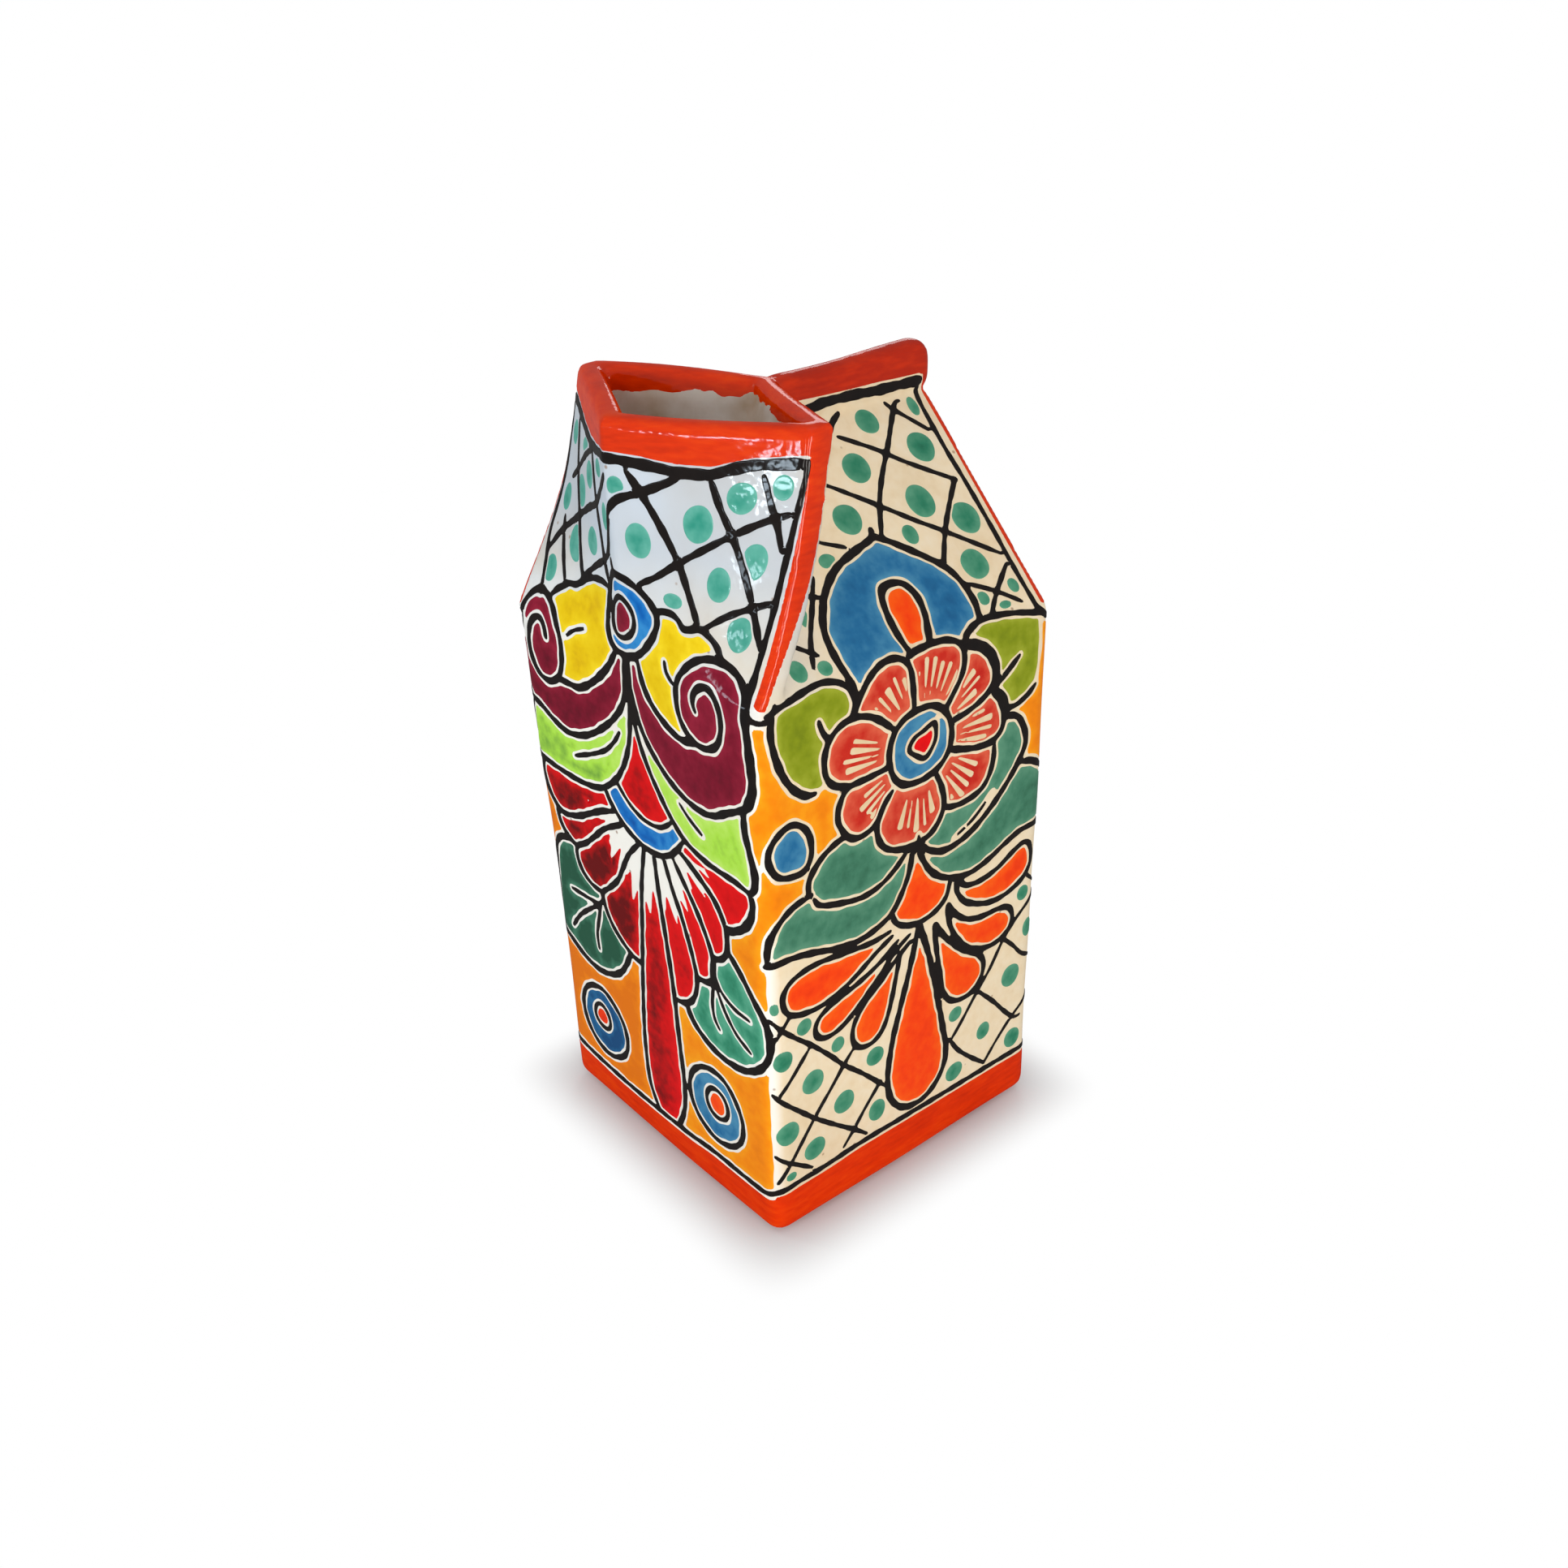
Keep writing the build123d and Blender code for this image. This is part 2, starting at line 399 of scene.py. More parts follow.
cream_paint = glaze("cream_glaze", (230, 204, 162), (240, 221, 188), (243, 230, 206), sheen=0.12)
nodes, links = cream_paint.node_tree.nodes, cream_paint.node_tree.links
dip = nodes["Color Ramp"].outputs["Color"]
place = nodes["Texture Coordinate"].outputs["Object"]
spot = nodes.new("ShaderNodeSeparateXYZ")
links.new(place, spot.inputs["Vector"])
# The dip is whiter on the spout side. On the spout's front slabs it is painted a cool grey-white, a painted
# shade with a painted bluish window reflection in it.
white_front = range_on(nodes, links, spot.outputs["Y"], -0.0480, -0.0505, 0.0, 0.85)
dip = mix_on(nodes, links, "MIX", white_front, dip, tone(250, 248, 242))
shade_reflection_top = range_on(nodes, links, spot.outputs["Z"], 0.155, 0.195, 0.0, 0.85)
shade_reflection_front = range_on(nodes, links, spot.outputs["Y"], -0.022, -0.034, 0.0, 1.0)
painted_shade_and_reflection = sum_on(nodes, links, "MULTIPLY", shade_reflection_top, shade_reflection_front)
dip = mix_on(nodes, links, "MIX", painted_shade_and_reflection, dip, tone(192, 203, 216))
wash = range_on(nodes, links, noise_on(nodes, links, place, 26, 4), 0.46, 0.74, 0.0, 0.35)
dip = mix_on(nodes, links, "MULTIPLY", wash, dip, tone(226, 206, 182))
# Specks of iron from the clay come through. The inside is painted a greyer cream for the shade in the
# hollow, with brown stains in blots.
grit = nodes.new("ShaderNodeTexVoronoi")
grit.inputs["Scale"].default_value = 130
links.new(place, grit.inputs["Vector"])
iron = range_on(nodes, links, grit.outputs["Distance"], 0.04, 0.085, 0.7, 0.0)
dip = mix_on(nodes, links, "MIX", iron, dip, tone(150, 112, 78))
hollow_side = nodes.new("ShaderNodeAttribute")
hollow_side.attribute_name = "inside"
blots = range_on(nodes, links, noise_on(nodes, links, place, 55, 5), 0.44, 0.68, 0.1, 0.8)
shade_and_stains = mix_on(nodes, links, "MULTIPLY", blots, tone(222, 216, 206), tone(206, 178, 144))
dip = mix_on(nodes, links, "MIX", hollow_side.outputs["Fac"], dip, shade_and_stains)
links.new(dip, nodes["Principled BSDF"].inputs["Base Color"])

clay_mesh.materials.clear()
clay_mesh.materials.append(cream_paint)
clay_mesh.polygons.foreach_set("use_smooth", [True] * len(clay_mesh.polygons))
clay_mesh.name = "clay_body"
clay = bpy.data.objects.new("clay_body", clay_mesh)
scene.collection.objects.link(clay)
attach(clay, "root")
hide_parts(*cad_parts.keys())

# ---- black lines --------------------------------------------------------------------------
# The whole design is drawn first in a thick manganese black. The painter works on the outside
# as on a cloth wrapped round it: s runs round the four sides and v runs up them and over the
# fold. Each line is a few listed points; the brush swells, thins and tapers along it.
BACK, SPOUT, FLOWER, GABLE = -1, 0, 1, 2
side_width = 2 * (half - corner) + corner * math.pi / 2
roof_rise, ridge_half = 51.0, 4.0
roof_slope = math.atan2(roof_rise, half - ridge_half)
cut_round = 2.0         # soft front edge of the spout's cut sides
fold_round = 4.0        # the surface turns within this of the fold
cloth_height = 242
grid = 0.5              # the cloth's weave
s_start = -1.5 * side_width
columns = int(4 * side_width / grid) + 1
rows = int(cloth_height / grid)
untouched = 9.0         # a distance, in mm, that no brush line reaches


def unfold(s, v):
    """Places (mm) and facing directions of points s round and v up the outside."""
    side = np.clip(np.floor(s / side_width + 0.5), BACK, GABLE)
    u = s - side * side_width
    over = np.maximum(v - fold, 0)
    flat = half - corner
    bend = np.clip((np.abs(u) - flat) / corner, 0, math.pi / 2)
    bend = np.where(over > 0, 0, bend)
    out = half - corner * (1 - np.cos(bend))
    along = np.where(bend > 0, np.sign(u) * (flat + corner * np.sin(bend)), u)
    height = np.minimum(v, fold)
    face = [np.cos(bend), np.sign(u) * np.sin(bend), 0 * u]

    roof = (over > 0) & ((side == FLOWER) | (side == BACK))
    gusset = (over > 0) & (side == GABLE)
    slope = np.where(gusset, gusset_slope, roof_slope)
    sloped = roof | gusset
    out = np.where(sloped, half - over * np.cos(slope), out)
    height = np.where(sloped, fold + over * np.sin(slope), height)
    turn = np.where(side == SPOUT, 0, ease(v, fold - fold_round, fold + fold_round))
    turn *= math.pi / 2 - slope
    face[0], face[2] = face[0] * np.cos(turn), np.sin(turn) * np.ones_like(u)
    face[1] = np.where(over > 0, 0, face[1])

    spout = (over > 0) & (side == SPOUT)
    face_y, side_x, side_y = front_face(u, v)
    past = np.maximum(np.abs(u) - (side_x - cut_round), 0)
    curl = np.clip(past / cut_round, 0, math.pi / 2)
    back = cut_round * (1 - np.cos(curl)) + np.maximum(past - cut_round * math.pi / 2, 0)
    sideways = np.sign(u) * np.minimum(np.abs(u), side_x - cut_round + cut_round * np.sin(curl))
    out = np.where(spout, -face_y - back, out)
    along = np.where(spout, sideways, along)
    height = np.where(spout, v, height)
    face[0] = np.where(spout, np.cos(curl), face[0])
    face[1] = np.where(spout, np.sign(u) * np.sin(curl), face[1])
    face[2] = np.where(spout, 0, face[2])

    angle = side * math.pi / 2
    sin, cos = np.sin(angle), np.cos(angle)
    places = np.stack([out * sin + along * cos, -out * cos + along * sin, height], -1)
    facing = np.stack([face[0] * sin + face[1] * cos, -face[0] * cos + face[1] * sin, face[2]], -1)
    facing /= np.linalg.norm(facing, axis=1)[:, None]
    return places * (shrink, shrink, 1), facing


def press_on(places, facing):
    """Points of the clay under the given places, its smooth normals there, and which were found."""
    reach, near = 7.0, 5.0
    hits = np.array(places)
    under = np.zeros(len(places), dtype=int)
    found = np.ones(len(places), dtype=bool)
    for i, (place, face) in enumerate(zip(places.tolist(), facing.tolist())):
        place, face = Vector(place), Vector(face)
        spot, _, index, run = clay_tree.ray_cast(place + face * reach, -face, 2 * reach)
        if spot is None or abs(run - reach) > near:
            spot, _, index, gap = clay_tree.find_nearest(place)
            found[i] = gap < near
        hits[i], under[i] = spot, index
    corners = clay_triangles[under]
    a, b, c = clay_points[corners[:, 0]], clay_points[corners[:, 1]], clay_points[corners[:, 2]]
    cross = np.cross(b - a, c - a)
    area = np.maximum((cross**2).sum(1), 1e-12)
    share_b = (np.cross(hits - a, c - a) * cross).sum(1) / area
    share_c = (np.cross(b - a, hits - a) * cross).sum(1) / area
    shares = np.clip(np.stack([1 - share_b - share_c, share_b, share_c], 1), 0, 1)
    normals = (clay_normals[corners] * shares[:, :, None]).sum(1)
    normals /= np.linalg.norm(normals, axis=1)[:, None]
    return hits, normals, found


def smooth_line(points, step=0.3):
    """A soft curve through given points."""
    points = np.array(points, float)
    closed = len(points) > 3 and np.allclose(points[0], points[-1])
    before = points[-2] if closed else 2 * points[0] - points[1]
    after = points[1] if closed else 2 * points[-1] - points[-2]
    knots = np.vstack([before, points, after])
    pieces = []
    for a, b, c, d in zip(knots, knots[1:], knots[2:], knots[3:]):
        count = max(2, int(math.dist(b, c) / step))
        t = np.linspace(0, 1, count, endpoint=False)[:, None]
        pieces.append(0.5 * (2 * b + (c - a) * t + (2 * a - 5 * b + 4 * c - d) * t**2
                             + (3 * b - a - 3 * c + d) * t**3))
    pieces.append(points[-1:])
    return np.vstack(pieces), closed


brush_reach = 4.0       # a line is felt this far from its middle


def draw(sheet, side, lines, place=None):
    """Brush lines, each a width and its points, onto a sheet of distances to their edges."""
    reach = int(brush_reach / grid)
    for number, (line_width, points) in enumerate(lines):
        if place:
            points = [place(u, v) for u, v in points]
        line, closed = smooth_line(points)
        line[:, 0] += side * side_width
        run = np.concatenate([[0], np.cumsum(np.hypot(*np.diff(line, axis=0).T))])
        hand = 1.7 * number
        swings = 0.10 * np.sin(run * 0.55 + hand) + 0.07 * np.sin(run * 1.4 + 2 * hand)
        load = 0.5 * line_width * (1 + swings)
        if not closed:
            load *= 0.72 + 0.28 * np.clip(np.minimum(run, run[-1] - run) / 3, 0, 1)
        for (s, v), half_line in zip(line, load):
            row, column = v / grid, (s - s_start) / grid
            r0, r1 = max(int(row) - reach, 0), min(int(row) + reach + 2, rows)
            c0, c1 = max(int(column) - reach, 0), min(int(column) + reach + 2, columns)
            if r0 < r1 and c0 < c1:
                up_gap = (np.arange(r0, r1) - row)[:, None] * grid
                side_gap = (np.arange(c0, c1) - column)[None] * grid
                patch = sheet[r0:r1, c0:c1]
                np.minimum(patch, np.hypot(up_gap, side_gap) - half_line, out=patch)


spout_drawing = [
    # long tail feather
    (1.9, [(-0.9, 107), (-3.6, 93), (-4.9, 81), (-6.3, 66), (-7.6, 50.5), (-8.5, 39), (-8.6, 30), (-8, 22),
        (-5.9, 16.6), (-3.9, 13.4)]),
    (2.1, [(3.5, 107), (4.9, 93), (6.4, 81), (7.9, 69), (8.9, 60), (9.7, 48), (10.5, 37), (10.6, 29),
        (9.8, 22), (7.9, 16.6), (5.8, 13.4)]),
    # feathers right
    (2.2, [(15.6, 112.4), (19.8, 110.5), (26.8, 106.6), (31.4, 103.2), (34.6, 98.6), (35.6, 94.3),
        (35.2, 89.7), (32.5, 86.2), (28.6, 84.6)]),
    (2.0, [(12.9, 108.4), (17.5, 102.8), (22.2, 97), (26, 90.8), (28.2, 85.8), (28.8, 81.2), (27.9, 77.4),
        (25.2, 74.9), (20.4, 74.2)]),
    (2.0, [(8.2, 107), (11.4, 98.9), (14.8, 92), (17.5, 85.1), (19.2, 79.7), (20.3, 74.3), (19.6, 68.9),
        (17.2, 64.5), (13.3, 61.8), (9.1, 61)]),
    (2.6, [(46.3, 113), (47.2, 109.7), (46, 104.8), (42.6, 100.6), (38.3, 97.9), (35.2, 96.9)]),
    # feathers left
    (2.1, [(-14.8, 112.4), (-20.2, 110.5), (-27.1, 107.4), (-34.8, 103.9), (-42.5, 102), (-46.5, 102.4),
        (-46.5, 98.9), (-44, 95.5), (-40.4, 93.4), (-37.2, 92.6)]),
    (1.9, [(-10.4, 110), (-19.4, 105.1), (-25.5, 100.5), (-31.7, 95.8), (-37.2, 92.6), (-38, 88.9),
        (-35.6, 84.4), (-30.9, 81.8), (-26.2, 81.4), (-24.4, 81.6)]),
    (1.9, [(-3.6, 106.4), (-8.6, 101.2), (-12.1, 95.5), (-15.5, 89.7), (-20.2, 85.1), (-24.6, 81.6),
        (-24.8, 78.9), (-23.2, 75.1), (-20.2, 71.2), (-15.5, 67.8), (-10.9, 65.6), (-6.4, 65.2)]),
    (2.1, [(-52.6, 118), (-53.2, 112.8), (-51, 107.4), (-47.2, 103.6), (-44, 102.4)]),
    # blue arc
    (1.5, [(13.7, 120.8), (11.4, 118.6), (7.5, 116.2), (2.9, 115.4), (-1.7, 115.8), (-6.3, 117.8),
        (-10.4, 121.2), (-12.6, 124)]),
    (1.9, [(-17.8, 119), (-15.5, 115.1), (-10.9, 110.8), (-6.3, 108.2), (-0.2, 106.7), (6, 107),
        (11.4, 109.3), (15.2, 112.8), (18, 116.2)]),
    # wedge and lower edge of the sepals
    (2.0, [(-2.4, 155), (-2.6, 147), (-4, 138.6), (-6.4, 132), (-9.4, 126.8), (-12.3, 123.2), (-17.8, 119),
        (-23.2, 117.3), (-30.9, 116.7), (-40.2, 117), (-49.4, 117.8), (-56, 119)]),
    (2.0, [(-2.2, 155), (-1.4, 147), (1, 138.9), (4.5, 132), (9.1, 125.8), (13.7, 120.8), (19, 116.8),
        (26.8, 114.5), (34.5, 113.9), (40.6, 113.8), (46.4, 112.9)]),
    # wings: lower edges
    (2.1, [(-3.4, 162), (-3.8, 155), (-5.6, 148.5), (-10.2, 142.8), (-15.5, 138.3), (-21.7, 134.4),
        (-28.6, 132), (-36.3, 131.2), (-44, 133.2), (-50.2, 135.8), (-57, 137.6)]),
    (2.1, [(-1.6, 162), (-1.4, 155), (0.8, 147), (4.5, 140.7), (9.8, 135.6), (15.2, 132.1), (21.4, 129.8),
        (27.5, 129.1), (32.9, 130.1), (38.3, 133), (42.9, 135.4), (46.6, 137.6)]),
    # wings: upper edges
    (2.3, [(-7.2, 162.6), (-10.9, 157.6), (-15.5, 153.2), (-20.9, 149.4), (-27.1, 147.1), (-33.2, 147.2),
        (-38.6, 147.2)]),
    (2.3, [(3.0, 163.2), (4.8, 157.4), (8.3, 152.8), (13.7, 149.3), (19.8, 147.3), (25.5, 147.8)]),
    # scrolls
    (2.1, [(46.9, 163.5), (45.6, 167.4), (42, 170.6), (37, 172.2), (32, 172.1), (27, 170.4), (22.8, 167),
        (20, 162.8), (19.4, 158), (20.5, 153.4), (23.6, 149.8), (27.8, 148.2), (32.2, 148.7), (35.8, 151.1),
        (37.5, 155.2), (37.5, 159.6), (35.7, 163.2), (32.2, 165.1), (28.8, 164), (26.7, 161.4),
        (26.5, 158.8), (27.4, 157.3)]),
    (2.1, [(-60, 161), (-58.5, 166.6), (-54, 170), (-49, 171), (-43.5, 169.4), (-38.8, 166), (-35.8, 161),
        (-35.2, 155.5), (-36.5, 150.2), (-40, 146.6), (-45, 145.1), (-50, 146.3), (-53.6, 149.8),
        (-55.4, 154.5), (-54.6, 159.4), (-52, 162.6), (-48.2, 163.9), (-45.2, 162.2), (-44.2, 158.6)]),
    # right and left ends of the wings and sepals
    (3.0, [(47.2, 172), (47, 163.5), (47.9, 155.5), (48.6, 149), (48.9, 143.5), (47.6, 139.4),
        (45.6, 136.6)]),
    (2.6, [(45.6, 136.6), (45.4, 131.2), (46.8, 125.8), (48.4, 119.7), (48.2, 115.2), (46.4, 112.9)]),
    (2.6, [(-59.6, 163), (-61.6, 156), (-61.8, 148), (-60, 141), (-57, 137.6), (-57.6, 130), (-57.4, 123),
        (-56, 119), (-52.6, 118)]),
    # strokes in the sepals
    (1.5, [(-8.4, 139.2), (-10.9, 135.8), (-15.5, 131.4), (-21.7, 128.2), (-27.8, 126.1), (-32.8, 124.4)]),
    (1.4, [(17.4, 127.7), (21.4, 124.7), (27.3, 121.7)]),
    # yellow patches: upper edge and dash
    (1.9, [(-6.4, 181), (-10.9, 181.4), (-15.5, 180.8), (-19.4, 179.6), (-23.2, 177.9), (-27.1, 176.2),
        (-31.7, 175.6), (-35.5, 174.2), (-40.2, 172.4), (-44.4, 169.8)]),
    (1.9, [(12.4, 179.4), (15.2, 180), (18, 179.9), (20.2, 178.6), (21.6, 177.1), (23.9, 177.4),
        (26.8, 178.3), (30.6, 177.1), (33.7, 175), (35.8, 172.2)]),
    (1.3, [(-32.1, 161.2), (-27.1, 163.9), (-20.4, 165.8)]),
    (1.9, [(15.0, 166.8), (15.7, 164.3), (17.8, 162.3)]),
    # almond
    (2.2, [(-3.2, 185.9), (1.4, 186.1), (6.8, 183.9), (10.8, 180.8), (12.6, 177.3), (11.4, 173.3),
        (8.3, 169.2), (4.5, 165.8), (-0.2, 163.6), (-4.8, 163.4), (-8.2, 165.1), (-9.3, 168.9),
        (-8.6, 173.5), (-7.2, 177.6), (-5.8, 181.6), (-3.2, 185.9)]),
    (1.7, [(-0.4, 180.4), (2.8, 178.2), (3.9, 174.7), (2.4, 171.2), (-1.2, 168.7), (-4.6, 168.4),
        (-6.2, 170.7), (-5.8, 174.6), (-4, 178.2), (-0.4, 180.4)]),
    (1.6, [(-3.0, 190.2), (-2.6, 186.4)]),
    # leaf left
    (2.2, [(-40.4, 93.4), (-46.3, 92.6), (-49.6, 90.1), (-51.2, 86.6), (-52.2, 77.4), (-52.4, 66),
        (-51.2, 58.2), (-46.3, 55.4), (-40.2, 52.4), (-34, 50.9), (-28.6, 51.2), (-22.5, 53.3),
        (-17.8, 56.8), (-14.6, 61.4), (-12.0, 66.2)]),
    (1.6, [(-25.4, 78.4), (-27.4, 76.3), (-31, 75.8), (-43.6, 75.1)]),
    (1.6, [(-26.2, 77.2), (-28.6, 75.1), (-33.2, 72), (-39.4, 67), (-44.4, 60.8)]),
    (1.6, [(-26, 78), (-27.1, 75.1), (-29, 68.9), (-30.2, 64.3), (-29.8, 59)]),
    # leaf right
    (2.4, [(35.2, 90.4), (37.2, 89), (40.8, 85.8), (45.2, 81), (49.2, 75.8), (51, 69.7), (50.8, 63.5),
        (48.2, 58.9), (43.7, 55.2), (38.3, 52.9), (31.4, 52.2), (25.2, 53.3), (19.8, 55.8), (16.4, 58.9),
        (14.6, 62.4)]),
    (2.8, [(28.9, 84), (28.3, 80), (28.1, 75)]),
    (1.5, [(28.8, 79.6), (31.4, 75.3), (36.8, 72.5), (44, 72)]),
    (1.5, [(29.2, 75.5), (32.9, 68.9), (37.5, 64), (43.6, 61.1)]),
    (1.5, [(28, 75.5), (27, 69), (27.6, 64.3), (29.8, 61.3)]),
    # circles
    (2.0, [(-43, 32), (-41, 38.4), (-36, 42.3), (-29.8, 43.3), (-24, 40.2), (-20, 35.5), (-18.9, 30),
        (-20.5, 24.5), (-24.8, 20.6), (-30.2, 18.8), (-36, 20.2), (-41, 25), (-43, 32)]),
    (1.7, [(-36.4, 32), (-34.9, 35.6), (-31.7, 36.8), (-28.9, 34.9), (-28, 31.8), (-29.2, 29.1),
        (-31.8, 28.2), (-34.9, 29.3), (-36.4, 32)]),
    (2.0, [(13.4, 33), (15.3, 38.8), (20, 43.2), (26, 44.8), (31.3, 43.6), (35.6, 39.4), (38.2, 33.5),
        (37.3, 27), (33.5, 22.3), (28, 19.9), (23, 20.1), (17.5, 23), (14.2, 27.8), (13.4, 33)]),
    (1.7, [(21.5, 33.6), (23.4, 37.4), (26.8, 38.7), (30.2, 37.2), (31.5, 33.6), (30, 30), (26.2, 28.4),
        (22.9, 29.8), (21.5, 33.6)]),
]
# edges of the open space above the bird: under the lip, and beside the cut sides
spout_top = [
    (2.7, [(-47.6, 219.3), (-42, 218.8), (-34, 217.4), (-26, 216), (-18, 215.2), (-10, 215.6), (-4, 216.4),
        (2.5, 216.5), (6, 216.2), (11.4, 215.7), (19.1, 214.9), (26, 215.1), (30.6, 216.6), (36, 218.2),
        (42.2, 219), (48.2, 219.8)]),
    (1.7, [(48.6, 220.2), (47.8, 209), (47.3, 197.4), (47.3, 185.8), (47.2, 178.2), (47.2, 170.5),
        (47.9, 164.3), (49.8, 162.0), (52.4, 161.6), (54.8, 162.6), (56.2, 165.4)]),
    (1.7, [(-48.4, 220), (-47.8, 209), (-47.6, 197.4), (-47.8, 185.8), (-48.6, 178), (-50, 170)]),
]
calla_drawing = [
    (2.2, [(-20.4, 158), (-22.1, 165), (-22.8, 171.9), (-22.1, 178.5), (-19.4, 183.8), (-14.8, 189.2),
        (-8.6, 193.5), (-0.2, 196.3), (6, 198.1), (7.4, 200.4)]),
    (2.2, [(6.4, 198.4), (9.1, 197.2), (13.7, 193.8), (19.8, 188.8), (24.5, 184.2), (26.8, 179.2),
        (27.5, 173.8), (26.8, 170.2), (25.6, 167.4)]),
    (2.2, [(-0.9, 166), (-1.7, 171.9), (-1.3, 178.8), (0.4, 183.6), (3.7, 185), (8, 184), (10.3, 180),
        (10, 175), (8.3, 170.4), (6.2, 166.2)]),
]
